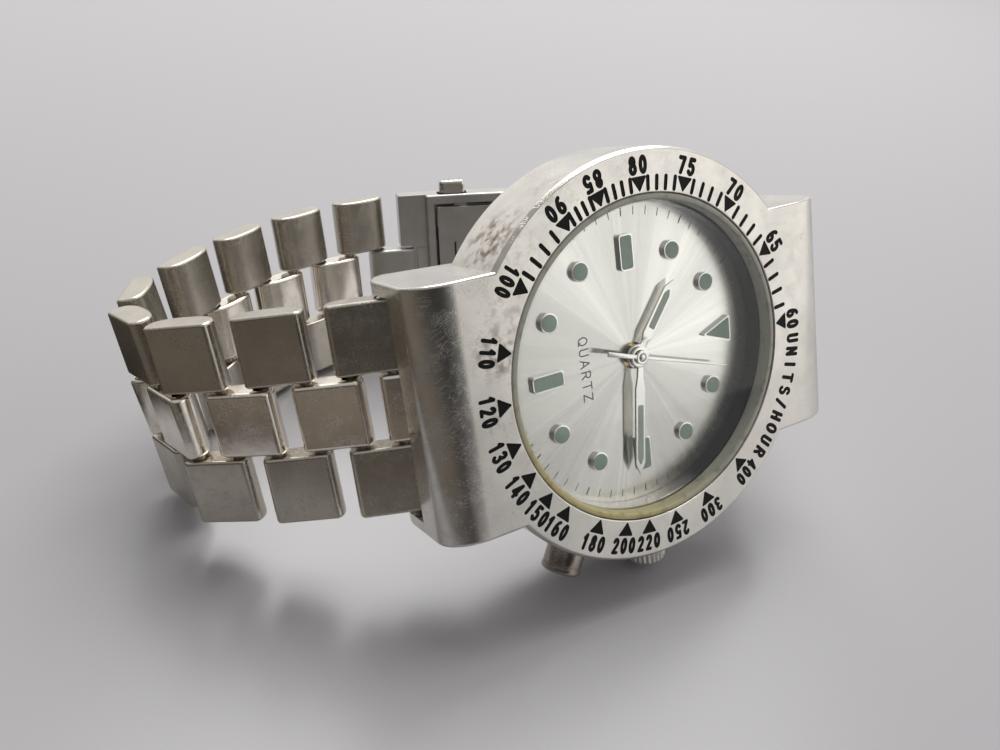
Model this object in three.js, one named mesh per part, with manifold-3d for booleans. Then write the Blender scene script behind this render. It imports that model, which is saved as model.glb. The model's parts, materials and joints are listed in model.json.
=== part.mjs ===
// A quartz wristwatch with a hooded steel case, a fixed tachymeter bezel and a three-row link bracelet.
// Millimetres. The watch lies on its side: it rests on its crown, on a lower corner of the bracelet and on
// the clasp's lower button, so +Z is up from the table, the dial looks towards -Y and leans back, and +X
// points to 12 o'clock.
// Inside the leaned group: dial normal -Y, y = 0 at the bezel's front plane, +X 12 o'clock, +Z 9 o'clock.
import * as THREE from "three";
import { mergeVertices } from "three/addons/utils/BufferGeometryUtils.js";
import Module from "manifold-3d";

const wasm = await Module();
wasm.setup();

// ---- driving dimensions ----
const LEAN_BACK = 20.9; // degrees between the dial and the vertical
const SIDE_ROLL = -3.5; // degrees, so that the crown, one link corner and the lower button touch the table
const ROUND = 40; // facets round a large circle
const FINE = 12; // facets round a small pin or bore

const CASE_R = 19;
const CASE_DEPTH = 7.5;
const BEZEL_BEVEL = 0.35;
const CRYSTAL_BORE_R = 15.05;
const CRYSTAL_SEAT = 1.45; // depth of the ledge that the crystal rests on
const DIAL_OPENING_R = 14.2;
const DIAL_DEPTH = 3;
const DIAL_THICK = 0.4;
const CAVITY_R = 15.1;
const GAP = 0.1; // between pieces that rest on each other

const HOOD_HALF_WIDTH = 11.25;
const HOOD_REACH = 22.65; // centre to the hood's ridge
const HOOD_ROLL_START = 18.8;
const HOOD_ROLL_DEPTH = 2.7;
const EAR_BACK = 10.35;
const SLOT_HALF_WIDTH = 10.05;
const SLOT_FRONT = 5.2;
const LUG_PIN = { x: 21.6, y: 8.3 };
const LUG_PIN_R = 0.7;
const LUG_PIN_TIP_R = 0.38;
const RUNNING_FIT = 0.12; // radial clearance of a pin or stem in its bore

const LINK_PITCH = 7.94;
const LINK_LENGTH = 6.4;
const LINK_THICK = 2.7;
const BRACELET_HALF_WIDTH = 9.75;
const CENTRE_HALF_WIDTH = 3.1;
const ROW_GAP = 0.28;
const PIN_R = 0.5;
const PIN_SLACK = 0.25; // worn bores let the bracelet lean
const PIN_INSET = (LINK_LENGTH - LINK_PITCH / 2) / 2; // pin to the link's end
const BLOCK_START = LINK_PITCH / 2 - PIN_INSET; // hinge to the near end of the link's outer blocks

// How far each link turns from the one before it, in degrees, starting at the case.
const SIX_SIDE_HEADING = 152;
const SIX_SIDE_BENDS = [0, 7, 8, 38, 36, 28, 7, 12, 11];
const TWELVE_SIDE_HEADING = 40;
const TWELVE_SIDE_BENDS = [0, -26, -26];
const FULL_LEAN = { x: 9, y: -8 }; // degrees of sideways slack at the tight bend
const CLASP_LEAN = { x: 7, y: 2.45 };
const LEAN_LINK = 5; // the link that has the full lean
const CLASP_HALF_TURN = 15; // half of the angle that the clasp's curve turns through

const STEEL = { color: 0xb3afa8, roughness: 0.35, metalness: 1 };
const POLISHED = { color: 0xbcb6ac, roughness: 0.15, metalness: 1 };
const BRASS = { color: 0xb59a55, roughness: 0.35, metalness: 1 };
const RUBBER = { color: 0x2a2a2a, roughness: 0.8, metalness: 0 };
const NYLON = { color: 0xd8d5ca, roughness: 0.6, metalness: 0 };

const rad = THREE.MathUtils.degToRad;

// ---- solids ----
function signedVolume(positions, index) {
  const [a, b, c] = [new THREE.Vector3(), new THREE.Vector3(), new THREE.Vector3()];
  let sum = 0;
  for (let i = 0; i < index.length; i += 3) {
    a.fromArray(positions, 3 * index[i]);
    b.fromArray(positions, 3 * index[i + 1]);
    c.fromArray(positions, 3 * index[i + 2]);
    sum += a.dot(b.cross(c));
  }
  return sum;
}

// A closed three.js geometry as a solid whose faces point out.
function solid(geometry) {
  const bare = new THREE.BufferGeometry();
  bare.setAttribute("position", geometry.getAttribute("position"));
  bare.setIndex(geometry.getIndex());
  const merged = mergeVertices(bare, 1e-4);
  const positions = merged.getAttribute("position").array;
  const index = new Uint32Array(merged.getIndex().array);
  if (signedVolume(positions, index) < 0) index.reverse();
  return new wasm.Manifold(new wasm.Mesh({ numProp: 3, vertProperties: positions, triVerts: index }));
}

const joined = (...solids) => solids.reduce((whole, piece) => whole.add(piece));
const without = (whole, ...cutters) => cutters.reduce((rest, cutter) => rest.subtract(cutter), whole);

function named(name, shape, look) {
  const mesh = shape.getMesh();
  const geometry = new THREE.BufferGeometry();
  geometry.setAttribute("position", new THREE.BufferAttribute(mesh.vertProperties, 3));
  geometry.setIndex(new THREE.BufferAttribute(mesh.triVerts, 1));
  geometry.computeVertexNormals();
  const result = new THREE.Mesh(geometry, new THREE.MeshStandardMaterial(look));
  result.name = name;
  return result;
}

// A ring or disc about the dial's axis, from [radius, depth] corners.
function turned(corners, facets = ROUND) {
  const profile = corners.map(([r, y]) => new THREE.Vector2(r, y));
  if (corners[0][0] > 0) profile.push(profile[0].clone());
  return solid(new THREE.LatheGeometry(profile, facets));
}

function ring(inner, outer, front, back, facets = ROUND) {
  return turned([[inner, front], [outer, front], [outer, back], [inner, back]], facets);
}

function disc(radius, front, back, facets = ROUND) {
  return turned([[0, front], [radius, front], [radius, back], [0, back]], facets);
}

// An outline in the (x, y) plane, run along z.
function runAlongZ(points, z0, z1) {
  const shape = new THREE.Shape(points.map(([x, y]) => new THREE.Vector2(x, y)));
  const run = new THREE.ExtrudeGeometry(shape, { depth: z1 - z0, bevelEnabled: false, curveSegments: 1 });
  run.translate(0, 0, z0);
  return solid(run);
}

// An outline in the dial's plane as [x, z] corners, run from one depth to another.
function plate(points, front, back) {
  const shape = new THREE.Shape(points.map(([x, z]) => new THREE.Vector2(x, -z)));
  const run = new THREE.ExtrudeGeometry(shape, { depth: back - front, bevelEnabled: false });
  run.rotateX(-Math.PI / 2);
  run.translate(0, front, 0);
  return solid(run);
}

function box(x0, x1, y0, y1, z0, z1) {
  const block = new THREE.BoxGeometry(x1 - x0, y1 - y0, z1 - z0);
  block.translate((x0 + x1) / 2, (y0 + y1) / 2, (z0 + z1) / 2);
  return solid(block);
}

function pinAlongZ(radius, x, y, z0, z1, facets = FINE) {
  const pin = new THREE.CylinderGeometry(radius, radius, z1 - z0, facets);
  pin.rotateX(Math.PI / 2);
  pin.translate(x, y, (z0 + z1) / 2);
  return solid(pin);
}

// ---- case ----
function hoodProfile() {
  const roll = new THREE.EllipseCurve(
    HOOD_ROLL_START, HOOD_ROLL_DEPTH + 0.15, HOOD_REACH - HOOD_ROLL_START, HOOD_ROLL_DEPTH,
    -Math.PI / 2, 0, false,
  );
  const ear = new THREE.EllipseCurve(HOOD_REACH - 2.1, EAR_BACK - 2.6, 2, 2.6, 0, Math.PI / 2, false);
  return [
    [12, 0.15],
    ...roll.getPoints(7).map((p) => [p.x, p.y]),
    ...ear.getPoints(4).map((p) => [p.x, p.y]),
    [12, CASE_DEPTH],
  ];
}

function hood(side) {
  const outline = hoodProfile().map(([x, y]) => [side * x, y]);
  const body = runAlongZ(outline, -HOOD_HALF_WIDTH, HOOD_HALF_WIDTH);
  const mouth = side * (HOOD_REACH + 1);
  const slot = runAlongZ(
    [[mouth, SLOT_FRONT], [mouth, EAR_BACK + 1], [side * 19.3, EAR_BACK + 1], [side * 19.3, SLOT_FRONT + 0.5],
      [side * 20.2, SLOT_FRONT]],
    -SLOT_HALF_WIDTH, SLOT_HALF_WIDTH,
  );
  const holes = [-1, 1].map((end) => {
    const z = [end * (SLOT_HALF_WIDTH - 0.5), end * (SLOT_HALF_WIDTH + 0.75)].sort((a, b) => a - b);
    return pinAlongZ(LUG_PIN_TIP_R + 0.1, side * LUG_PIN.x, LUG_PIN.y, z[0], z[1]);
  });
  return without(body, slot, ...holes);
}

// A cylinder pointing outwards from the case's side at a clock angle, from one radius to another.
function spoke(radius, clock, depth, r0, r1, facets = FINE) {
  const rod = new THREE.CylinderGeometry(radius, radius, r1 - r0, facets);
  rod.rotateZ(-Math.PI / 2);
  rod.translate((r0 + r1) / 2, depth, 0);
  rod.rotateY(rad(clock));
  return solid(rod);
}

const CROWN = { clock: 90, depth: 4.2, r: 2, from: 19.45, to: 21.5 };
const PUSHER = { clock: 118, depth: 4.2, r: 1.9, from: 19.15, to: 21.6, wellFrom: 18.1 }; // sinks in a well
const STEM_R = 0.6;
const PUSHER_STEM_R = 0.9;

const CASE_BACK = { r: 17.2, front: 7.62, back: 9, dishR: 14.3, dish: 0.6 };

function caseBody() {
  const barrel = turned([
    [CRYSTAL_BORE_R, 0], [CASE_R - BEZEL_BEVEL, 0], [CASE_R, BEZEL_BEVEL], [CASE_R, CASE_DEPTH],
    [16.1, CASE_DEPTH], [16.1, CASE_DEPTH - 0.6], [CAVITY_R, CASE_DEPTH - 0.6], [CAVITY_R, DIAL_DEPTH],
    [DIAL_OPENING_R, DIAL_DEPTH], [DIAL_OPENING_R, CRYSTAL_SEAT], [CRYSTAL_BORE_R, CRYSTAL_SEAT],
  ]);
  const inside = disc(CAVITY_R + 1, -1, CASE_DEPTH + 1);
  const backWell = disc(CASE_BACK.r + GAP, CASE_DEPTH, EAR_BACK + 1);
  const hoods = [-1, 1].map((side) => without(hood(side), inside, backWell));
  return without(
    joined(barrel, ...hoods),
    spoke(STEM_R + RUNNING_FIT, CROWN.clock, CROWN.depth, 13, 21),
    spoke(PUSHER_STEM_R + RUNNING_FIT, PUSHER.clock, PUSHER.depth, 13, 21),
    spoke(PUSHER.r + RUNNING_FIT, PUSHER.clock, PUSHER.depth, PUSHER.wellFrom, 21),
  );
}

function caseBack() {
  const { r, front, back, dishR, dish } = CASE_BACK;
  return turned([[0, front + dish], [dishR, front + dish], [dishR, front], [r, front], [r, back - 0.4],
    [r - 0.6, back], [0, back]]);
}

function caseGroup() {
  const group = new THREE.Group();
  const lugBar = (side) => joined(
    pinAlongZ(LUG_PIN_R, side * LUG_PIN.x, LUG_PIN.y, -9.5, 9.5),
    pinAlongZ(LUG_PIN_TIP_R, side * LUG_PIN.x, LUG_PIN.y, -10.65, 10.65),
  );
  group.add(
    named("case_body", caseBody(), STEEL),
    named("case_back", caseBack(), STEEL),
    named("case_back_gasket", ring(15.3, 15.95, CASE_DEPTH - 0.5, CASE_DEPTH), RUBBER),
    named("crystal", disc(14.35, 0, CRYSTAL_SEAT - GAP), {
      color: 0xffffff, roughness: 0.02, metalness: 0, transparent: true, opacity: 0.25,
    }),
    named("crystal_gasket", ring(14.47, 14.93, 0.08, CRYSTAL_SEAT - GAP), {
      color: 0xb9ad7c, roughness: 0.5, metalness: 0,
    }),
    named("spring_bar_6", lugBar(-1), STEEL),
    named("spring_bar_12", lugBar(1), STEEL),
  );
  return group;
}

// ---- dial and hands ----
const MARKER_CIRCLE_R = 10.4;
const MARKER_HEIGHT = 0.35;

function aroundDial(shape, clock) {
  return shape.rotate([0, clock, 0]);
}

function hourMarker(hour) {
  const [front, back] = [DIAL_DEPTH - MARKER_HEIGHT, DIAL_DEPTH + 0.1];
  const r = MARKER_CIRCLE_R;
  if (hour === 12) return plate([[r - 2.1, 0], [r + 1.3, -1.3], [r + 1.3, 1.3]], front, back);
  if (hour % 3 === 0) {
    return plate([[r - 2.3, -0.75], [r + 1, -0.75], [r + 1, 0.75], [r - 2.3, 0.75]], front, back);
  }
  return disc(0.92, front, back, 10).translate([r, 0, 0]);
}

function dial() {
  const blank = ring(1.25, 14.95, DIAL_DEPTH + 0.05, DIAL_DEPTH + DIAL_THICK);
  const markers = Array.from({ length: 12 }, (_, i) => aroundDial(hourMarker(i + 1), 30 * (i + 1)));
  return joined(blank, ...markers);
}

// A flat hand with a long taper to its tip and a short tail, pointing to 12.
function handBlade(length, width, tail, front, thick) {
  return plate([
    [-tail, -width * 0.3], [0, -width * 0.5], [length * 0.85, -width * 0.5], [length, 0],
    [length * 0.85, width * 0.5], [0, width * 0.5], [-tail, width * 0.3],
  ], front, front + thick);
}

// A wheel with pointed teeth; the tooth at index 0 points along `clock` degrees in its own plane.
function gear(teeth, module, front, back, clock = 0) {
  const pitchR = (teeth * module) / 2;
  const corners = [];
  for (let i = 0; i < teeth; i++) {
    for (const [turn, r] of [[0, pitchR + 0.75 * module], [0.5, pitchR - 0.95 * module]]) {
      const a = rad(clock) + ((i + turn) * 2 * Math.PI) / teeth;
      corners.push([r * Math.cos(a), -r * Math.sin(a)]);
    }
  }
  return plate(corners, front, back);
}

// The clock angle that puts a gap, not a tooth, on the line that points along `towards`.
const gapAt = (towards, teeth) => towards + 180 / teeth;

const TRAIN_MODULE = 0.16;
const THIRD_AT = 60; // clock angle and distance of each arbor from the centre
const CENTRE_MODULE = 0.13;
const THIRD_DISTANCE = ((6 + 48) * CENTRE_MODULE) / 2 + 0.03;
const THIRD_MODULE = (2 * (THIRD_DISTANCE - 0.03)) / (6 + 45);
const STEP_AT = 270;
const STEP_MODULE = 0.165;
const STEP_DISTANCE = ((6 + 36) * STEP_MODULE) / 2 + 0.03;
const ROTOR_AT = 320; // seen from the step wheel
const ROTOR_DISTANCE = ((6 + 30) * TRAIN_MODULE) / 2 + 0.03;
const MINUTE_WHEEL_AT = 200;
const MINUTE_WHEEL_DISTANCE = 20 * TRAIN_MODULE + 0.03;
const ARBOR_R = 0.2;

const polar = (clock, distance) => [distance * Math.cos(rad(clock)), -distance * Math.sin(rad(clock))];
const THIRD = polar(THIRD_AT, THIRD_DISTANCE);
const STEP = polar(STEP_AT, STEP_DISTANCE);
const ROTOR = polar(ROTOR_AT, ROTOR_DISTANCE).map((value, i) => value + STEP[i]);
const MINUTE_WHEEL = polar(MINUTE_WHEEL_AT, MINUTE_WHEEL_DISTANCE);

const arbor = (front, back, radius = ARBOR_R) => disc(radius, front, back, 8);
const moved = (shape, [x, z]) => shape.translate([x, 0, z]);

const HOUR_CLOCK = 308;
const MINUTE_CLOCK = 96;
const SECONDS_CLOCK = 18;

function handsGroup() {
  const group = new THREE.Group();
  const hourHand = without(
    joined(handBlade(8, 1.3, 0.2, 2.4, 0.15), disc(1.15, 2.4, 2.55, FINE)), disc(0.9, 2, 3, FINE),
  );
  const hourWheel = without(
    joined(gear(32, TRAIN_MODULE, 3.75, 4.05, gapAt(MINUTE_WHEEL_AT, 32)), disc(0.82, 2.45, 4.05, FINE)),
    disc(0.66, 2, 5, FINE),
  );
  const minuteHand = without(
    joined(handBlade(11.5, 1.15, 0.2, 2.05, 0.15), disc(1, 2.05, 2.2, FINE)), disc(0.62, 1, 3, FINE),
  );
  const cannon = without(
    joined(disc(0.56, 2.1, 4.5, FINE), gear(10, TRAIN_MODULE, 4.15, 4.5, gapAt(MINUTE_WHEEL_AT, 10))),
    disc(0.4, 1, 5, FINE),
  );
  const secondsHand = without(
    joined(handBlade(10.7, 0.24, 4, 1.7, 0.12), disc(0.7, 1.7, 1.82, FINE)), disc(0.27, 1, 2, FINE),
  );
  const secondsWheel = joined(
    arbor(1.6, 6.9), gear(6, THIRD_MODULE, 5.55, 5.9, gapAt(THIRD_AT, 6)),
    gear(36, STEP_MODULE, 6.05, 6.3, gapAt(STEP_AT, 36)),
  );
  group.add(
    named("hour_hand", aroundDial(hourHand, HOUR_CLOCK), POLISHED),
    named("hour_wheel", hourWheel, BRASS),
    named("minute_hand", aroundDial(minuteHand, MINUTE_CLOCK), POLISHED),
    named("cannon_pinion", cannon, BRASS),
    named("seconds_hand", aroundDial(secondsHand, SECONDS_CLOCK), POLISHED),
    named("seconds_wheel", secondsWheel, BRASS),
  );
  return group;
}

// ---- movement ----
function trainWheels() {
  const centre = without(
    gear(48, CENTRE_MODULE, 5.15, 5.4, gapAt(THIRD_AT, 48)), disc(ARBOR_R + 0.08, 5, 6, 8),
  );
  const third = joined(
    arbor(4.75, 6.9), gear(6, CENTRE_MODULE, 5.1, 5.48, THIRD_AT + 180),
    gear(45, THIRD_MODULE, 5.6, 5.85, THIRD_AT + 180),
  );
  const step = joined(
    arbor(4.75, 6.9), gear(6, STEP_MODULE, 6, 6.35, STEP_AT + 180),
    gear(30, TRAIN_MODULE, 6.47, 6.72, gapAt(ROTOR_AT, 30)),
  );
  const rotor = joined(
    arbor(4.75, 6.9), disc(0.9, 5.25, 6.2, FINE), gear(6, TRAIN_MODULE, 6.4, 6.75, ROTOR_AT + 180),
  );
  const minute = without(
    joined(gear(30, TRAIN_MODULE, 4.18, 4.48, MINUTE_WHEEL_AT + 180),
      gear(8, TRAIN_MODULE, 3.72, 4.2, MINUTE_WHEEL_AT + 180)),
    disc(0.3, 3, 5, 8),
  );
  return [
    named("centre_wheel", centre, BRASS),
    named("third_wheel", moved(third, THIRD), BRASS),
    named("step_wheel", moved(step, STEP), BRASS),
    named("rotor", moved(rotor, ROTOR), STEEL),
    named("minute_wheel", moved(minute, MINUTE_WHEEL), BRASS),
  ];
}

const BATTERY = { x: -7.75, z: 1.6, r: 4.75 };

function mainPlate() {
  const bearing = ([x, z]) => moved(disc(ARBOR_R + 0.1, 4, 6, 8), [x, z]);
  const post = moved(disc(0.2, 3.7, 4.8, 8), MINUTE_WHEEL);
  return joined(
    without(disc(12.6, 4.6, 5), disc(0.45, 4, 6, FINE), bearing(THIRD), bearing(STEP), bearing(ROTOR),
      box(-1.2, 1.2, 3, 6, -13, -8.6)),
    post,
  );
}

function trainBridge() {
  const outline = [[-2.2, -6.4], [3.6, -8.2], [6.2, -8.2], [6.2, 1.2], [4.6, 7], [-2.2, 7]];
  const bearing = (at) => moved(disc(ARBOR_R + 0.1, 6, 8, 8), at);
  const pillars = [[5.2, -7.3], [-1.6, 6.3]].map((at) => moved(disc(0.55, 5.1, 7, 8), at));
  return joined(
    without(plate(outline, 6.82, 7.15), bearing([0, 0]), bearing(THIRD), bearing(STEP), bearing(ROTOR)),
    ...pillars,
  );
}

function coil() {
  const x = 9.4;
  return joined(pinAlongZ(1.2, x, 6.5, -4.2, 3.4), box(x - 0.8, x + 0.8, 6.35, 6.65, -5.6, 6));
}

function stator() {
  const strip = plate([[0.7, 4.3], [10.2, 4.3], [10.2, 6.4], [5.2, 6.4], [4, 7.6], [0.7, 7.6]], 5.5, 5.8);
  return without(strip, moved(disc(1.2, 5, 7, FINE), ROTOR));
}

function movementGroup() {
  const group = new THREE.Group();
  const stemWay = spoke(STEM_R + 0.15, CROWN.clock, CROWN.depth, 8, 16);
  const board = joined(
    plate([[-8, 7.2], [-1.4, 7.2], [-1.4, 10.8], [-4.6, 10.6]], 5.3, 5.6),
    box(-6.6, -3.4, 5.5, 6.5, 8, 9.6),
  );
  group.add(
    named("dial", dial(), { color: 0xc9c6bf, roughness: 0.3, metalness: 0.9 }),
    named("movement_ring", without(ring(12.75, 14.95, 3.55, 7.5), stemWay), NYLON),
    named("main_plate", mainPlate(), { color: 0x8f8f86, roughness: 0.4, metalness: 1 }),
    named("train_bridge", trainBridge(), { color: 0x9a9a92, roughness: 0.4, metalness: 1 }),
    named("battery", disc(BATTERY.r, 5.5, 7.4, 24).translate([BATTERY.x, 0, BATTERY.z]), POLISHED),
    named("coil", coil(), { color: 0xa8683a, roughness: 0.5, metalness: 0.6 }),
    named("stator", stator(), STEEL),
    named("circuit_board", board, { color: 0x2f5d3a, roughness: 0.6, metalness: 0 }),
    ...trainWheels(),
  );
  return group;
}

// ---- crown and pusher ----
function fluted(radius, depth, flutes, r0, r1, clock, y) {
  const corners = [];
  for (let i = 0; i < 2 * flutes; i++) {
    const r = i % 2 ? radius - depth : radius;
    const a = (i * Math.PI) / flutes;
    corners.push([r * Math.cos(a), r * Math.sin(a)]);
  }
  return runAlongZ(corners, r0, r1).rotate([0, 90, 0]).translate([0, y, 0]).rotate([0, clock, 0]);
}

function controlsGroup() {
  const group = new THREE.Group();
  const { clock, depth, r, from, to } = CROWN;
  const crown = without(
    joined(fluted(r, 0.14, 24, from, to - 0.3, clock, depth), spoke(r - 0.35, clock, depth, from, to, 24)),
    spoke(STEM_R + 0.08, clock, depth, from - 1, to - 1),
  );
  const pusher = joined(
    spoke(PUSHER.r, PUSHER.clock, PUSHER.depth, PUSHER.from, PUSHER.to, 20),
    spoke(PUSHER_STEM_R, PUSHER.clock, PUSHER.depth, 15.9, PUSHER.from + 0.5),
  );
  group.add(
    named("crown", crown, POLISHED),
    named("winding_stem", spoke(STEM_R, clock, depth, 9, to - 1.1), STEEL),
    named("pusher", pusher, POLISHED),
  );
  return group;
}

// ---- bracelet ----
// A link block's side outline: a flat outer face at +y, rounded noses and a crowned inner side.
function blockOutline(x0, x1) {
  const half = LINK_THICK / 2;
  return [
    [x0, 0.45], [x0 + 0.18, half - 0.35], [x0 + 0.6, half], [x1 - 0.6, half], [x1 - 0.18, half - 0.35],
    [x1, 0.45], [x1 - 0.15, -0.4], [x1 - 1.1, 0.25 - half], [(x0 + x1) / 2, -half], [x0 + 1.1, 0.25 - half],
    [x0 + 0.15, -0.4],
  ];
}

const OUTER_FROM = CENTRE_HALF_WIDTH + ROW_GAP;

function outerPair(start, pins) {
  const outline = blockOutline(start, start + LINK_LENGTH);
  const blocks = [
    runAlongZ(outline, OUTER_FROM, BRACELET_HALF_WIDTH),
    runAlongZ(outline, -BRACELET_HALF_WIDTH, -OUTER_FROM),
  ];
  return joined(...blocks, ...pins.map((x) => pinAlongZ(PIN_R, x, 0, -OUTER_FROM - 0.5, OUTER_FROM + 0.5)));
}

function centreBlock(x0, x1, bores) {
  const block = runAlongZ(blockOutline(x0, x1), -CENTRE_HALF_WIDTH, CENTRE_HALF_WIDTH);
  return without(block, ...bores.map(([x, r]) => pinAlongZ(r, x, 0, -5, 5)));
}

function lugLink(group, name) {
  const bore = pinAlongZ(LUG_PIN_R + RUNNING_FIT, 0, 0, -12, 12);
  const outer = without(outerPair(-PIN_INSET, [LINK_PITCH / 2]), bore);
  const centre = centreBlock(-PIN_INSET, PIN_INSET + 0.3, [[0, LUG_PIN_R + RUNNING_FIT]]);
  group.add(named(`outer_links_${name}`, outer, STEEL), named(`centre_link_${name}`, centre, POLISHED));
}

function bodyLink(group, name, isLast) {
  const fixedPin = LINK_PITCH / 2;
  const pins = isLast ? [fixedPin] : [fixedPin, LINK_PITCH];
  const bores = [[0, PIN_R + PIN_SLACK], [fixedPin, PIN_R + 0.1]];
  const centre = centreBlock(-PIN_INSET, LINK_LENGTH - PIN_INSET, bores);
  group.add(
    named(`outer_links_${name}`, outerPair(BLOCK_START, pins), STEEL),
    named(`centre_link_${name}`, centre, POLISHED),
  );
}

// Turns a link about its pin and lets it lean sideways by the slack that its pins allow.
function linkTurn(heading, lean) {
  const turn = new THREE.Quaternion().setFromAxisAngle(new THREE.Vector3(0, 0, 1), rad(heading));
  const tip = new THREE.Quaternion().setFromAxisAngle(new THREE.Vector3(1, 0, 0), rad(lean.x));
  const twist = new THREE.Quaternion().setFromAxisAngle(new THREE.Vector3(0, 1, 0), rad(lean.y));
  return twist.multiply(tip).multiply(turn);
}

const mix = (a, b, t) => ({ x: a.x + (b.x - a.x) * t, y: a.y + (b.y - a.y) * t });
const UPRIGHT = { x: 0, y: 0 };

function sixSideLean(link) {
  if (link <= LEAN_LINK) return mix(UPRIGHT, FULL_LEAN, (link - 1) / (LEAN_LINK - 1));
  return mix(FULL_LEAN, CLASP_LEAN, (link - LEAN_LINK) / (SIX_SIDE_BENDS.length + 1 - LEAN_LINK));
}

const twelveSideLean = (link) => mix(UPRIGHT, CLASP_LEAN, (link - 1) / (TWELVE_SIDE_BENDS.length - 1));

// Walks a chain of links away from a lug: side -1 is the 6 o'clock lug, +1 the 12 o'clock lug.
function chain(side, heading, bends, leanOf, isOpenEnded, tag) {
  const links = [];
  const at = new THREE.Vector3(side * LUG_PIN.x, LUG_PIN.y, 0);
  let course = heading;
  bends.forEach((bend, i) => {
    course -= bend;
    const group = new THREE.Group();
    group.name = `link_${tag}_${i + 1}`;
    group.position.copy(at);
    group.quaternion.copy(linkTurn(course, leanOf(i + 1)));
    const name = `${tag}_${i + 1}`;
    const holder = new THREE.Group();
    if (side > 0) holder.rotation.x = Math.PI; // the outer faces are on the right of this walk
    group.add(holder);
    if (i === 0) lugLink(holder, name);
    else bodyLink(holder, name, isOpenEnded && i === bends.length - 1);
    const step = i === 0 ? LINK_PITCH / 2 : LINK_PITCH;
    at.add(new THREE.Vector3(step, 0, 0).applyQuaternion(group.quaternion));
    links.push(group);
  });
  return { links, end: at };
}

// ---- clasp ----
const COVER = { outer: 1.35, inner: 0.35, lip: -2.2, wall: 1.1 };
const MIDDLE_LEAF = { top: 0.1, bottom: -0.6 };
const LEAF_HALF_WIDTH = 8.2;
const INNER_LEAF = { top: -1.2, bottom: -1.9 };
const CLASP_NECK = BLOCK_START + 3.4;
const FOLD_PIN_INSET = 4.6; // fold hinge to the clasp's far end
const LEAF_HINGE = 8.4; // middle to inner leaf hinge, along the clasp
const BUTTON = { from: 8, to: 11.2, top: 0.1, bottom: -1.5, standsOut: 1.6, travel: 0.6 };

// The clasp follows an arc that starts along +x and curves towards -y.
function claspArc(chord) {
  const radius = chord / (2 * Math.sin(rad(CLASP_HALF_TURN)));
  const length = radius * 2 * rad(CLASP_HALF_TURN);
  const point = (s, y) => {
    const a = s / radius;
    return [(radius + y) * Math.sin(a), (radius + y) * Math.cos(a) - radius];
  };
  const band = (s0, s1, y0, y1) => {
    const steps = Math.max(1, Math.ceil((s1 - s0) / 5));
    const along = Array.from({ length: steps + 1 }, (_, i) => s0 + ((s1 - s0) * i) / steps);
    return [...along.map((s) => point(s, y0)), ...along.reverse().map((s) => point(s, y1))];
  };
  return { length, point, band };
}

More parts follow.
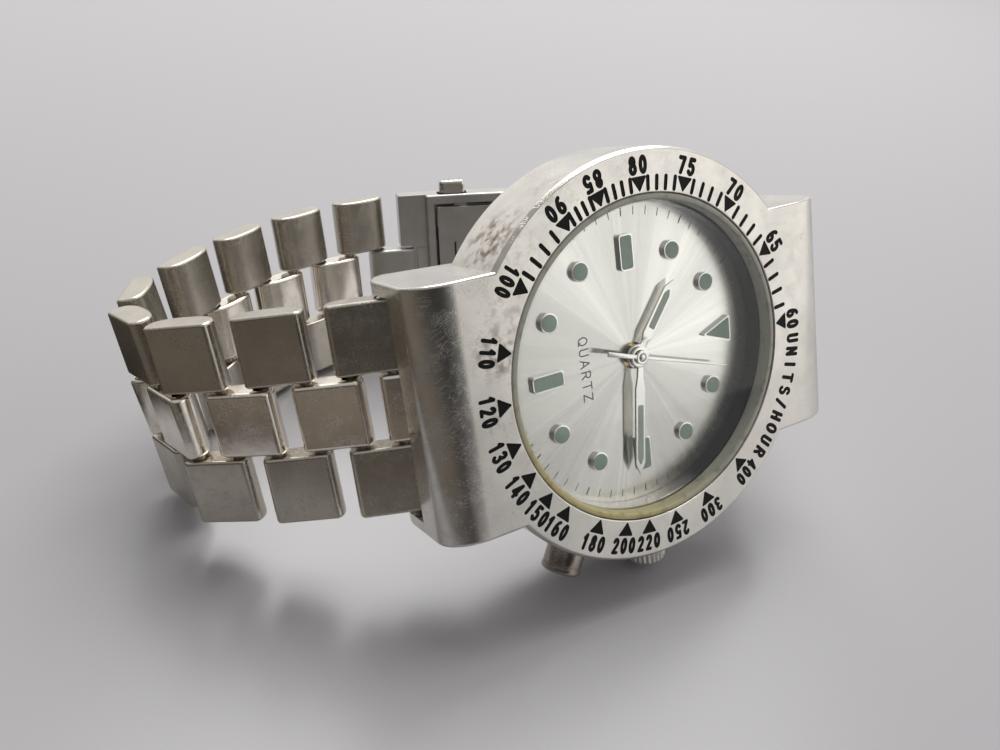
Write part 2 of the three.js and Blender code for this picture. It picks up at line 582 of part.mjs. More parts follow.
function claspGroup(start, end) {
  const span = end.clone().sub(start);
  const level = linkTurn(0, CLASP_LEAN).invert();
  const flat = span.clone().applyQuaternion(level);
  const heading = THREE.MathUtils.radToDeg(Math.atan2(flat.y, flat.x)) + CLASP_HALF_TURN;
  const arc = claspArc(Math.hypot(flat.x, flat.y));
  const run = (s0, s1, y0, y1, z0, z1) => runAlongZ(arc.band(s0, s1, y0, y1), z0, z1);
  const pinAt = (s, y, r, z0, z1) => pinAlongZ(r, ...arc.point(s, y), z0, z1);
  const wide = BRACELET_HALF_WIDTH;
  const wallIn = wide - COVER.wall;
  const farEnd = arc.length - 2.6;
  const foldPin = arc.length - FOLD_PIN_INSET;
  const foldDepth = -0.6;
  const leafDepth = -0.9;

  const shell = without(
    run(CLASP_NECK, farEnd, COVER.lip, COVER.outer, -wide, wide),
    run(CLASP_NECK + 1, farEnd + 2, COVER.lip - 1, COVER.inner, -wallIn, wallIn),
  );
  const neck = joined(
    centreBlock(-PIN_INSET, BLOCK_START + 2.6, [[0, PIN_R + PIN_SLACK]]),
    run(BLOCK_START + 2, CLASP_NECK + 0.5, -1.1, 1, -CENTRE_HALF_WIDTH, CENTRE_HALF_WIDTH),
    run(BLOCK_START, CLASP_NECK + 0.5, -1.1, 1.2, OUTER_FROM, wide),
    run(BLOCK_START, CLASP_NECK + 0.5, -1.1, 1.2, -wide, -OUTER_FROM),
    run(BLOCK_START + 1.6, CLASP_NECK + 0.5, -0.9, 0.9, -OUTER_FROM - 0.5, OUTER_FROM + 0.5),
  );
  const buttonWindow = (z0, z1) =>
    run(BUTTON.from - 0.25, BUTTON.to + 0.25, BUTTON.bottom - 0.2, BUTTON.top + 0.2, z0, z1);
  const cover = without(
    joined(shell, neck, pinAt(foldPin, foldDepth, 0.5, -wallIn - 0.4, wallIn + 0.4)),
    buttonWindow(wallIn - 1, wide + 1), buttonWindow(-wide - 1, -wallIn + 1),
  );

  const leafW = LEAF_HALF_WIDTH;
  const middle = without(
    joined(
      run(LEAF_HINGE + 1.4, foldPin - 1, MIDDLE_LEAF.bottom, MIDDLE_LEAF.top, -leafW, leafW),
      run(foldPin - 1.5, foldPin, MIDDLE_LEAF.bottom, MIDDLE_LEAF.top, 3.1, leafW),
      run(foldPin - 1.5, foldPin, MIDDLE_LEAF.bottom, MIDDLE_LEAF.top, -leafW, -3.1),
      pinAt(foldPin, foldDepth, 0.8, 3.1, leafW),
      pinAt(foldPin, foldDepth, 0.8, -leafW, -3.1),
      run(LEAF_HINGE - 0.9, LEAF_HINGE + 1.6, MIDDLE_LEAF.bottom - 0.6, MIDDLE_LEAF.top, 5.6, leafW - 1.2),
      run(LEAF_HINGE - 0.9, LEAF_HINGE + 1.6, MIDDLE_LEAF.bottom - 0.6, MIDDLE_LEAF.top, 1.2 - leafW, -5.6),
      pinAt(LEAF_HINGE, leafDepth, 0.45, -5.8, 5.8),
    ),
    pinAt(foldPin, foldDepth, 0.6, -leafW - 1, leafW + 1),
    run(LEAF_HINGE + 2.2, LEAF_HINGE + 3.2, -3, 2, -2.6, 3.2),
  );

  const knuckleAt = arc.length - 0.8; // short of the last link's pin, so that the closed loop can open here
  const inner = without(
    joined(
      run(LEAF_HINGE + 2, arc.length - 7.2, INNER_LEAF.bottom, INNER_LEAF.top, -leafW, leafW),
      run(CLASP_NECK + 1.4, LEAF_HINGE + 2.5, INNER_LEAF.bottom, INNER_LEAF.bottom + 0.35, -leafW, leafW),
      run(LEAF_HINGE + 0.2, LEAF_HINGE + 2.5, INNER_LEAF.bottom, INNER_LEAF.top, -5.2, 5.2),
      pinAt(LEAF_HINGE, leafDepth, 0.9, -5.2, 5.2),
      run(arc.length - 7.6, knuckleAt - 0.8, INNER_LEAF.bottom, INNER_LEAF.top, -2.7, 2.7),
      runAlongZ([arc.point(knuckleAt - 1.6, INNER_LEAF.bottom), arc.point(knuckleAt - 0.4, INNER_LEAF.bottom),
        arc.point(knuckleAt + 0.6, -0.6), arc.point(knuckleAt, 0.2), arc.point(knuckleAt - 0.8, -0.2),
        arc.point(knuckleAt - 1.6, INNER_LEAF.top)], -2.7, 2.7),
      pinAt(knuckleAt, 0, 0.9, -2.7, 2.7),
    ),
    pinAt(LEAF_HINGE, leafDepth, 0.57, -7, 7),
    run(LEAF_HINGE + 1.1, LEAF_HINGE + 3.7, -3, 2, -3.2, 3.8),
  );

  const button = (z0, z1) => run(BUTTON.from, BUTTON.to, BUTTON.bottom, BUTTON.top, z0, z1);
  const group = new THREE.Group();
  group.name = "clasp";
  group.position.copy(start);
  group.quaternion.copy(linkTurn(heading, CLASP_LEAN));
  group.add(
    named("clasp_cover", cover, STEEL),
    named("clasp_middle_leaf", middle, STEEL),
    named("clasp_inner_leaf", inner, STEEL),
    named("clasp_button_upper", button(wallIn + BUTTON.travel, wide + BUTTON.standsOut), STEEL),
    named("clasp_button_lower", button(-wide - BUTTON.standsOut, -wallIn - BUTTON.travel), STEEL),
  );
  return group;
}

function braceletGroup() {
  const group = new THREE.Group();
  const six = chain(-1, SIX_SIDE_HEADING, SIX_SIDE_BENDS, sixSideLean, false, "6");
  const twelve = chain(1, TWELVE_SIDE_HEADING, TWELVE_SIDE_BENDS, twelveSideLean, true, "12");
  group.add(...six.links, ...twelve.links, claspGroup(six.end, twelve.end));
  return group;
}

// ---- the watch ----
const watch = new THREE.Group();
const leaned = new THREE.Group();
leaned.name = "watch_frame";
leaned.rotation.set(-rad(LEAN_BACK), rad(SIDE_ROLL), 0, "YXZ");
leaned.add(caseGroup(), handsGroup(), movementGroup(), controlsGroup(), braceletGroup());
watch.add(leaned);

export default watch;
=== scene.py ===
"""The looks of a steel quartz wristwatch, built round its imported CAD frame.

Sizes are millimetres in the frame of the piece they describe, and that frame's matrix takes them into the
row frame. In the head's frame the dial looks to -y, y = 0 is the bezel's front plane, +x points to
12 o'clock and +z to 9 o'clock. In a link's frame the hinge is the origin, +x runs along the chain and +y is
the outer face. A clock angle is in degrees, clockwise from 12 as the dial is read.
"""

import json
import math

import bmesh
import bpy
from mathutils import Matrix, Vector
from mathutils.geometry import delaunay_2d_cdt


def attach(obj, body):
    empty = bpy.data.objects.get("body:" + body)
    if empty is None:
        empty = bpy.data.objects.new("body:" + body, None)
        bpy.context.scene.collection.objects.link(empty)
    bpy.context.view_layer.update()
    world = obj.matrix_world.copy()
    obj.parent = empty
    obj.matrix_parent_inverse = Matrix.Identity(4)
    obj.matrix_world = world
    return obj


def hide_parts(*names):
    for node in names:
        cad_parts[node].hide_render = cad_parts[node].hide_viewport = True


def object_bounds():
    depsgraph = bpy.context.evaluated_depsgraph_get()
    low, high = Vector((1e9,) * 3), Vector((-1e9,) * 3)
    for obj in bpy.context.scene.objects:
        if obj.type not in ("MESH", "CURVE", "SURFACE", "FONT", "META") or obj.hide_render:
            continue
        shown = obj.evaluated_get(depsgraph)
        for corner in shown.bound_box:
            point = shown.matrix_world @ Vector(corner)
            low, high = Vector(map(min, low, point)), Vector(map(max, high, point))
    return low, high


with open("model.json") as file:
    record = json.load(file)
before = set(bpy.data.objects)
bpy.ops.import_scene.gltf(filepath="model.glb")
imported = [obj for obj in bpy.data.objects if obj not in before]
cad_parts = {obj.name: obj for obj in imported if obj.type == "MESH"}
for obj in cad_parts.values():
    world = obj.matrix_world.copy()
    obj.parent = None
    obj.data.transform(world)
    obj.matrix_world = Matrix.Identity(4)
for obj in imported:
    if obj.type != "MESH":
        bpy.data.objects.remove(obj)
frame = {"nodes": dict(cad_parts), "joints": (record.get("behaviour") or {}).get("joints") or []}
cad_low, cad_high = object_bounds()

MM = 0.001
JOINTS = {joint["name"]: joint for joint in frame["joints"]}

# ---- driving dimensions, as the CAD has them ----
CASE_R = 19.0
CASE_DEPTH = 7.5
CRYSTAL_BORE_R = 15.05
CRYSTAL_R = 14.35
CRYSTAL_BACK = 1.35
CRYSTAL_SEAT = 1.45
DIAL_OPENING_R = 14.2
DIAL_FACE, DIAL_BACK = 3.05, 3.4
DIAL_R, DIAL_HOLE_R = 14.95, 1.25
MARKER_TOP = 2.66
CAVITY_R = 15.1
HOOD_HALF_WIDTH = 11.25
HOOD_REACH = 22.65
HOOD_ROLL_START = 18.8
HOOD_ROLL_DEPTH = 2.7
EAR_BACK = 10.35
SLOT_HALF_WIDTH = 10.05
SLOT_FRONT = 5.2
SLOT_FROM = 19.3
LUG_PIN = (21.6, 8.3)
BACK_R = 17.2
CROWN_CLOCK = 90
CROWN_DEPTH = 4.2
PUSHER_CLOCK = 118
PUSHER_DEPTH = 4.2
PUSHER_R = 1.9
PUSHER_WELL = 18.1
LINK_PITCH = 7.94
LINK_LENGTH = 6.4
LINK_HALF_THICK = 1.35
BRACELET_HALF_WIDTH = 9.75
CENTRE_HALF_WIDTH = 3.1
OUTER_FROM = 3.38
PIN_R = 0.5
PIN_INSET = 1.215
BLOCK_START = LINK_PITCH / 2 - PIN_INSET
CLASP_CHORD = 39.714
CLASP_HALF_TURN = math.radians(15)
CLASP_R = CLASP_CHORD / (2 * math.sin(CLASP_HALF_TURN))
CLASP_LENGTH = CLASP_R * 2 * CLASP_HALF_TURN
FOLD_PIN = (CLASP_LENGTH - 4.6, -0.6)
LEAF_HINGE = (8.4, -0.9)
MARKER_CIRCLE_R = 10.4
HOUR_CLOCK = 308
MINUTE_CLOCK = 96
SECONDS_CLOCK = 18


# ---- frames ----
def frame_at(origin, x, z):
    y = z.cross(x)
    return Matrix.Translation(origin) @ Matrix((x, y, z)).transposed().to_4x4()


def joint_at(name):
    return Vector(JOINTS[name]["pos_m"]), Vector(JOINTS[name]["axis"]).normalized()


def head_frame():
    y = Vector(JOINTS["minute_hand_turn"]["axis"]).normalized()
    z = -Vector(JOINTS["crown_pull"]["axis"]).normalized()
    return frame_at(Vector((0, 0, 0)), y.cross(z), z)


def frame_towards(joint, target, seen=(1, 0)):
    """A frame at a hinge, turned about its axis until target lies along seen in its (x, y) plane."""
    origin, z = joint_at(joint)
    v = target - origin
    v -= z * v.dot(z)
    x = v * seen[0] - z.cross(v) * seen[1]
    return frame_at(origin, x.normalized(), z)


def clasp_point(s, y):
    """Where a place s along the clasp's curve and y outside it lies in the clasp's frame."""
    turn = s / CLASP_R
    return (CLASP_R + y) * math.sin(turn), (CLASP_R + y) * math.cos(turn) - CLASP_R


HEAD = head_frame()
CLASP = frame_towards("clasp_hinge", joint_at("clasp_fold")[0], clasp_point(*FOLD_PIN))
OPEN_PIVOT = CLASP @ (Vector((*clasp_point(CLASP_LENGTH, 0), 0)) * MM)


# ---- objects and meshes ----
def new_object(name, data):
    o = bpy.data.objects.new(name, data)
    bpy.context.scene.collection.objects.link(o)
    return o


def painted(mesh, material):
    mesh.materials.clear()
    mesh.materials.append(material)


def mesh_of(points, faces, name="shape"):
    mesh = bpy.data.meshes.new(name)
    mesh.from_pydata([Vector(p) * MM for p in points], [], faces)
    return cleaned(mesh)


def cleaned(mesh):
    bm = bmesh.new()
    bm.from_mesh(mesh)
    bmesh.ops.remove_doubles(bm, verts=bm.verts, dist=1e-7)
    bmesh.ops.recalc_face_normals(bm, faces=bm.faces)
    bm.to_mesh(mesh)
    bm.free()
    return mesh


def rounded(corners, steps=5, closed=True):
    """An outline from corners (x, y, cut): each corner is rounded off from cut before it to cut after it."""
    out = []
    count = len(corners)
    for i, (x, y, cut) in enumerate(corners):
        here = Vector((x, y))
        if cut <= 0 or (not closed and i in (0, count - 1)):
            out.append(here)
            continue
        before = (Vector(corners[i - 1][:2]) - here).normalized() * cut + here
        after = (Vector(corners[(i + 1) % count][:2]) - here).normalized() * cut + here
        for k in range(steps + 1):
            t = k / steps
            out.append(before * (1 - t) ** 2 + here * 2 * t * (1 - t) + after * t * t)
    return out


def spun(profile, segments=96, closed=True):
    """A body turned about the y axis from (radius, y) points. An open profile ends on the axis."""
    points, faces, rings = [], [], []
    for r, y in profile:
        if r < 1e-6:
            rings.append([len(points)] * segments)
            points.append((0, y, 0))
            continue
        rings.append([len(points) + i for i in range(segments)])
        for i in range(segments):
            a = 2 * math.pi * i / segments
            points.append((r * math.cos(a), y, -r * math.sin(a)))
    for near, far in zip(rings, rings[1:] + ([rings[0]] if closed else [])):
        for i in range(segments):
            j = (i + 1) % segments
            face = []
            for v in (near[i], near[j], far[j], far[i]):
                if v not in face:
                    face.append(v)
            if len(face) > 2:
                faces.append(face)
    return mesh_of(points, faces)


def prism(outline, z0, z1):
    """An (x, y) outline run along z."""
    n = len(outline)
    points = [(x, y, z) for z in (z0, z1) for x, y in outline]
    faces = [list(range(n)), list(range(2 * n - 1, n - 1, -1))]
    faces += [[i, (i + 1) % n, n + (i + 1) % n, n + i] for i in range(n)]
    return mesh_of(points, faces)


def joined(*meshes):
    """Several meshes as one, with no cutting."""
    bm = bmesh.new()
    for mesh in meshes:
        bm.from_mesh(mesh)
    whole = bpy.data.meshes.new("joined")
    bm.to_mesh(whole)
    bm.free()
    return whole


def moved(mesh, matrix):
    copy = mesh.copy()
    copy.transform(matrix)
    return copy


def bevelled(mesh, width, segments=2, angle=50):
    """The mesh with its edges that are sharper than angle rounded."""
    def add(o):
        bevel = o.modifiers.new("bevel", "BEVEL")
        bevel.width = width * MM
        bevel.segments = segments
        bevel.limit_method = "ANGLE"
        bevel.angle_limit = math.radians(angle)
        bevel.miter_outer = "MITER_ARC"

    return applied(mesh, add)


def applied(mesh, add_modifiers):
    """The mesh as its object's modifiers leave it."""
    helper = new_object("helper", mesh)
    add_modifiers(helper)
    bpy.context.view_layer.update()
    result = bpy.data.meshes.new_from_object(helper.evaluated_get(bpy.context.evaluated_depsgraph_get()))
    bpy.data.objects.remove(helper)
    return result


def plus(mesh):
    return "UNION", mesh


def minus(mesh):
    return "DIFFERENCE", mesh


def carved(base, *steps):
    """A solid from base and the solids that are joined to it or cut from it, in order."""
    tools = [new_object("tool", mesh) for _, mesh in steps]

    def add(o):
        for (operation, _), tool in zip(steps, tools):
            modifier = o.modifiers.new("boolean", "BOOLEAN")
            modifier.operation = operation
            modifier.object = tool
            modifier.solver = "MANIFOLD"

    result = applied(base, add)
    for tool in tools:
        bpy.data.objects.remove(tool)
    return result


def piece(name, mesh, matrix, body, material, replaces=(), angle=35):
    """A finished piece: shaded by angle, placed by matrix, riding on body and standing for CAD nodes."""
    mesh.name = name
    painted(mesh, material)
    mesh.shade_smooth()
    mesh.set_sharp_from_angle(angle=math.radians(angle))
    o = new_object(name, mesh)
    o.matrix_world = matrix
    weighted = o.modifiers.new("weighted", "WEIGHTED_NORMAL")
    weighted.keep_sharp = True
    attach(o, body)
    if replaces:
        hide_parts(*replaces)


# ---- flat ink: strokes and patches in the dial's plane ----
def stadium(a, b, r, steps=7):
    """The outline of a round pen's path from a to b."""
    a, b = Vector(a), Vector(b)
    along = math.atan2(b.y - a.y, b.x - a.x)
    out = []
    for centre, start in ((b, along - math.pi / 2), (a, along + math.pi / 2)):
        for k in range(steps + 1):
            t = start + math.pi * k / steps
            out.append(centre + Vector((math.cos(t), math.sin(t))) * r)
    return out


def soft_patch(corners, pen):
    """A patch with its edge gone over by a round pen."""
    return [corners] + [stadium(a, b, pen) for a, b in zip(corners, corners[1:] + corners[:1])]


def merged(patches):
    """The union of flat (x, z) patches, as (points, triangles)."""
    points, loops = [], []
    for patch in patches:
        corners = [Vector(p) for p in patch]
        twice_area = sum(a.cross(b) for a, b in zip(corners, corners[1:] + corners[:1]))
        loops.append(list(range(len(points), len(points) + len(corners))))
        points += corners if twice_area > 0 else corners[::-1]
    verts, _, faces, _, _, owners = delaunay_2d_cdt(points, [], loops, 1, 1e-5)
    return verts, [face for face, owner in zip(faces, owners) if owner]


def slab(patches, y0, y1):
    """Flat patches as one closed body from depth y0 to y1."""
    verts, triangles = merged(patches)
    used = {}
    for face in triangles:
        for a, b in zip(face, face[1:] + face[:1]):
            key = (min(a, b), max(a, b))
            used.setdefault(key, []).append((a, b))
    n = len(verts)
    points = [(v.x, y, v.y) for y in (y0, y1) for v in verts]
    faces = [list(face) for face in triangles] + [[n + v for v in reversed(face)] for face in triangles]
    faces += [[b, a, n + a, n + b] for ways in used.values() if len(ways) == 1 for a, b in ways]
    return mesh_of(points, faces)


def arc(cx, cy, rx, ry, start, end, steps=10):
    angles = [math.radians(start + (end - start) * k / steps) for k in range(steps + 1)]
    return [(cx + rx * math.cos(a), cy + ry * math.sin(a)) for a in angles]


# Each sign is a list of pen paths in a box 1 wide and SIGN_HEIGHT high.
SIGN_HEIGHT = 1.7
SIGNS = {
    "0": [arc(0.5, 0.85, 0.37, 0.72, 0, 360, 18)],
    "1": [[(0.28, 1.22), (0.58, 1.57), (0.58, 0.13)]],
    "2": [arc(0.5, 1.18, 0.34, 0.39, 165, -25) + [(0.15, 0.13), (0.87, 0.13)]],
    "3": [arc(0.46, 1.22, 0.34, 0.35, 150, -90) + arc(0.46, 0.5, 0.4, 0.37, 90, -150)],
    "4": [[(0.7, 0.13), (0.7, 1.57), (0.1, 0.5), (0.95, 0.5)]],
    "5": [[(0.83, 1.57), (0.24, 1.57), (0.19, 0.93)] + arc(0.46, 0.57, 0.39, 0.44, 115, -150)],
    "6": [arc(0.5, 0.54, 0.36, 0.41, 0, 360, 16), arc(0.78, 0.62, 0.63, 0.96, 182, 100)],
    "7": [[(0.13, 1.57), (0.87, 1.57), (0.42, 0.13)]],
    "8": [arc(0.5, 1.23, 0.29, 0.34, 0, 360, 14), arc(0.5, 0.51, 0.37, 0.39, 0, 360, 16)],
    "9": [arc(0.5, 1.16, 0.36, 0.41, 0, 360, 16), arc(0.22, 1.08, 0.63, 0.96, 2, -80)],
    "U": [[(0.15, 1.57)] + arc(0.5, 0.5, 0.35, 0.37, 180, 360) + [(0.85, 1.57)]],
    "N": [[(0.15, 0.13), (0.15, 1.57), (0.85, 0.13), (0.85, 1.57)]],
    "I": [[(0.5, 0.13), (0.5, 1.57)]],
    "T": [[(0.1, 1.57), (0.9, 1.57)], [(0.5, 1.57), (0.5, 0.13)]],
    "S": [arc(0.5, 1.22, 0.32, 0.35, 30, 270) + arc(0.5, 0.49, 0.36, 0.37, 90, -150)],
    "/": [[(0.2, 0.05), (0.8, 1.65)]],
    "H": [[(0.15, 0.13), (0.15, 1.57)], [(0.85, 0.13), (0.85, 1.57)], [(0.15, 0.85), (0.85, 0.85)]],
    "O": [arc(0.5, 0.85, 0.4, 0.72, 0, 360, 18)],
    "R": [[(0.15, 0.13), (0.15, 1.57)] + arc(0.5, 1.2, 0.34, 0.37, 90, -90) + [(0.15, 0.83)],
          [(0.5, 0.83), (0.88, 0.13)]],
    "Q": [arc(0.5, 0.85, 0.42, 0.72, 0, 360, 20), [(0.58, 0.42), (0.92, 0.05)]],
    "A": [[(0.08, 0.13), (0.5, 1.57), (0.92, 0.13)], [(0.24, 0.6), (0.76, 0.6)]],
    "Z": [[(0.12, 1.57), (0.88, 1.57), (0.12, 0.13), (0.88, 0.13)]],
}


def outwards(clock):
    a = math.radians(clock)
    return Vector((math.cos(a), -math.sin(a)))


def clockwise(clock):
    a = math.radians(clock)
    return Vector((-math.sin(a), -math.cos(a)))


def sign_patches(sign, at, right, up, width, height, pen):
    """The pen's patches for one sign, centred on at."""
    patches = []
    for path in SIGNS[sign]:
        spots = [at + right * (u - 0.5) * width + up * (v / SIGN_HEIGHT - 0.5) * height
                 for u, v in path]
        patches += [stadium(a, b, pen) for a, b in zip(spots, spots[1:])]
    return patches


def ring_text(text, clock, radius, pitch, width, height, pen, tops_out):
    """A word bent round the dial's axis and centred on a clock angle: one list of patches for each sign."""
    way = 1 if tops_out else -1
    signs = []
    for i, sign in enumerate(text):
        turn = clock + way * math.degrees((i - (len(text) - 1) / 2) * pitch / radius)
        signs.append(sign_patches(
            sign, outwards(turn) * radius, clockwise(turn) * way, outwards(turn) * way, width, height, pen,
        ))
    return signs


# ---- looks ----
def add_node(tree, kind, inputs=None, **settings):
    """A new node. An input is given as the socket that feeds it or as its value."""
    made = tree.nodes.new(kind)
    for key, value in settings.items():
        setattr(made, key, value)
    for key, value in (inputs or {}).items():
        if isinstance(value, bpy.types.NodeSocket):
            tree.links.new(value, made.inputs[key])
        else:
            made.inputs[key].default_value = value
    return made


class Look:
    """A material whose nodes are added by short calls. place is in millimetres and mm is the same, but
    shifted for each object so that no two pieces wear alike."""

    SHIFT = 80.0

    def __init__(self, name):
        self.material = bpy.data.materials.new(name)
        self.material.use_nodes = True
        self.tree = self.material.node_tree
        self.tree.nodes.clear()
        where = self.node("ShaderNodeTexCoord").outputs["Object"]
        self.place = self.scaled(where, 1 / MM)
        shift = self.sum("MULTIPLY", self.node("ShaderNodeObjectInfo").outputs["Random"], self.SHIFT)
        self.mm = self.vector("ADD", self.place, shift)

    def node(self, kind, inputs=None, **settings):
        return add_node(self.tree, kind, inputs, **settings)

    def sum(self, operation, a, b=0.0, c=0.0):
        return self.node("ShaderNodeMath", {0: a, 1: b, 2: c}, operation=operation).outputs[0]

    def vector(self, operation, a, b=(0, 0, 0)):
        return self.node("ShaderNodeVectorMath", {0: a, 1: b}, operation=operation).outputs[0]

    def measure(self, operation, a, b=(0, 0, 0)):
        return self.node("ShaderNodeVectorMath", {0: a, 1: b}, operation=operation).outputs["Value"]

    def scaled(self, a, scale):
        return self.node("ShaderNodeVectorMath", {0: a, "Scale": scale}, operation="SCALE").outputs[0]

    def parts(self, a):
        """The x, y and z of a vector."""
        return self.node("ShaderNodeSeparateXYZ", {0: a}).outputs

    def noise(self, scale, detail=2.0, stretch=None, turn=0.0, where=None):
        vector = where or self.mm
        if stretch:
            rotation = (turn * 0.7, turn, turn * 1.3)
            turned = self.node("ShaderNodeMapping", {"Vector": vector, "Rotation": rotation}).outputs[0]
            vector = self.vector("MULTIPLY", turned, stretch)
        inputs = {"Vector": vector, "Scale": scale, "Detail": detail}
        return self.node("ShaderNodeTexNoise", inputs).outputs[0]

    def band(self, value, low, high, at_low=0.0, at_high=1.0):
        inputs = {"Value": value, "From Min": low, "From Max": high, "To Min": at_low, "To Max": at_high}
        return self.node("ShaderNodeMapRange", inputs, interpolation_type="SMOOTHSTEP").outputs[0]

    def blend(self, share, a, b):
        inputs = {"Factor": share, 6: a, 7: b}
        return self.node("ShaderNodeMix", inputs, data_type="RGBA").outputs[2]

    def scratches(self, turns=(0.4, 1.5, 2.6), width=0.012):
        """Hairlines in a few directions, each broken up by a wide noise."""
        total = 0.0
        for k, turn in enumerate(turns):
            line = self.noise(0.9, 1.0, stretch=(0.25, 7.0, 7.0), turn=turn)
            off = self.sum("ABSOLUTE", self.sum("SUBTRACT", line, 0.5))
            thin = self.band(off, 0.0, width, 1.0, 0.0)
            gate = self.band(self.noise(0.45 + 0.1 * k, 2.0), 0.5, 0.62)
            total = self.sum("MAXIMUM", self.sum("MULTIPLY", thin, gate), total)
        return total

    def pits(self, scale=1.6, size=0.09, share=0.56):
        """Sparse round pits."""
        spots = self.node("ShaderNodeTexVoronoi", {"Vector": self.mm, "Scale": scale}).outputs["Distance"]
        gate = self.band(self.noise(0.8, 2.0), share, share + 0.06)
        return self.sum("MULTIPLY", self.band(spots, size * 0.5, size, 1.0, 0.0), gate)

    def near(self, x, y, z, radius):
        """1 at a place and 0 further off than radius."""
        away = self.measure("DISTANCE", self.place, (x, y, z))
        return self.band(away, radius * 0.25, radius, 1.0, 0.0)

    def bump(self, height):
        """The normal of a height in millimetres."""
        return self.node("ShaderNodeBump", {"Strength": 1.0, "Distance": MM, "Height": height}).outputs[0]

    def surface(self, **inputs):
        named = {key.replace("_", " "): value for key, value in inputs.items()}
        shader = self.node("ShaderNodeBsdfPrincipled", named)
        self.output(shader.outputs[0])
        return self.material

    def output(self, shader):
        self.node("ShaderNodeOutputMaterial", {"Surface": shader})


def rgb(r, g, b):
    return (r, g, b, 1.0)


PIT_DIRT = rgb(0.05, 0.04, 0.035)
RUST_BROWN = rgb(0.17, 0.085, 0.04)
# painted shade for the case's inner wall, laid on its +x side
THROAT_PAINTED_SHADE = rgb(0.03, 0.031, 0.036)
DUSTED = 0.62  # how bright the steel is under old dust


def steel(name, tint, roughness, grain=0.0, stretch=None, dents=0.0, wear=1.0, stains=(), throat=0.0):
    """Worn steel: clouded roughness, hairlines, pits, smudges and, at the places in stains, brown speckle.
    Nearer to the y axis than throat it is painted black on its +x side: painted shade on the case's inner
    wall."""
    look = Look(name)
    cloud = look.noise(0.25, 3.0)
    smudge = look.noise(1.2, 6.0)
    lines = look.scratches()
    pits = look.pits()
    dust = look.band(look.noise(2.6, 8.0), 0.58, 0.8)
    tone = look.band(cloud, 0.25, 0.75, 0.9, 1.06)
    worn = look.blend(look.sum("MULTIPLY", dust, 0.25 * wear), rgb(*tint), rgb(*(DUSTED * c for c in tint)))
    worn = look.blend(look.sum("MULTIPLY", pits, 0.85 * wear), worn, PIT_DIRT)
    worn = look.scaled(worn, tone)
    matt = look.sum("MULTIPLY", pits, 0.3)
    for x, y, z, radius, strength in stains:
        speckle = look.band(look.noise(1.1, 12.0, where=look.place), 0.42, 0.7)
        share = look.sum("MULTIPLY", look.sum("MULTIPLY", look.near(x, y, z, radius), speckle), strength)
        worn = look.blend(share, worn, RUST_BROWN)
        matt = look.sum("MAXIMUM", matt, look.sum("MULTIPLY", share, 0.5))
    # painted shade: the inner wall near the axis is painted black on its +x side
    if throat:
        away = look.measure("LENGTH", look.vector("MULTIPLY", look.place, (1, 0, 1)))
        inside = look.band(away, throat, throat + 0.2, 1.0, 0.0)
        black = look.sum("MULTIPLY", inside, look.band(look.parts(look.place)[0], 0.5, 6.0))
        worn = look.blend(black, worn, THROAT_PAINTED_SHADE)
    rough = look.sum("MULTIPLY_ADD", look.sum("SUBTRACT", smudge, 0.5), 0.1 * wear, roughness)
    rough = look.sum("MULTIPLY_ADD", look.sum("SUBTRACT", cloud, 0.5), 0.06, rough)
    rough = look.sum("ADD", look.sum("MULTIPLY_ADD", lines, 0.12 * wear, rough), matt)
    height = look.sum("MULTIPLY", look.sum("MAXIMUM", lines, pits), -0.004 * wear)
    if grain:
        fine = look.noise(9.0, 3.0, stretch=stretch or (1.0, 1.0, 1.0))
        height = look.sum("MULTIPLY_ADD", fine, grain, height)
    if dents:
        height = look.sum("MULTIPLY_ADD", look.noise(0.55, 2.0), dents, height)
    return look.surface(Base_Color=worn, Metallic=1.0, Roughness=rough, Normal=look.bump(height))


def plain(name, tint, roughness, metallic=0.0, mottle=0.12, grit=0.002, scale=3.0, **extra):
    """A simple moulded, plated or turned surface with mottled colour and fine relief."""
    look = Look(name)
    cloud = look.noise(scale * 0.3, 4.0)
    fine = look.noise(scale * 3.0, 4.0)
    tone = look.band(cloud, 0.25, 0.75, 1.0 - mottle, 1.0 + mottle)
    colour = look.scaled(tint, tone)
    rough = look.sum("MULTIPLY_ADD", look.sum("SUBTRACT", fine, 0.5), 0.15, roughness)
    height = look.sum("MULTIPLY", fine, grit)
    return look.surface(
        Base_Color=colour, Metallic=metallic, Roughness=rough, Normal=look.bump(height), **extra,
    )


def paint_look():
    look = Look("engraving_paint")
    chips = look.band(look.noise(3.5, 6.0), 0.66, 0.74)
    colour = look.blend(look.sum("MULTIPLY", chips, 0.35), rgb(0.006, 0.006, 0.007), rgb(0.16, 0.15, 0.13))
    height = look.sum("MULTIPLY", look.noise(2.2, 3.0), 0.012)
    rough = look.band(chips, 0, 1, 0.4, 0.6)
    return look.surface(
        Base_Color=colour, Roughness=rough, Specular_IOR_Level=0.15, Normal=look.bump(height),
    )


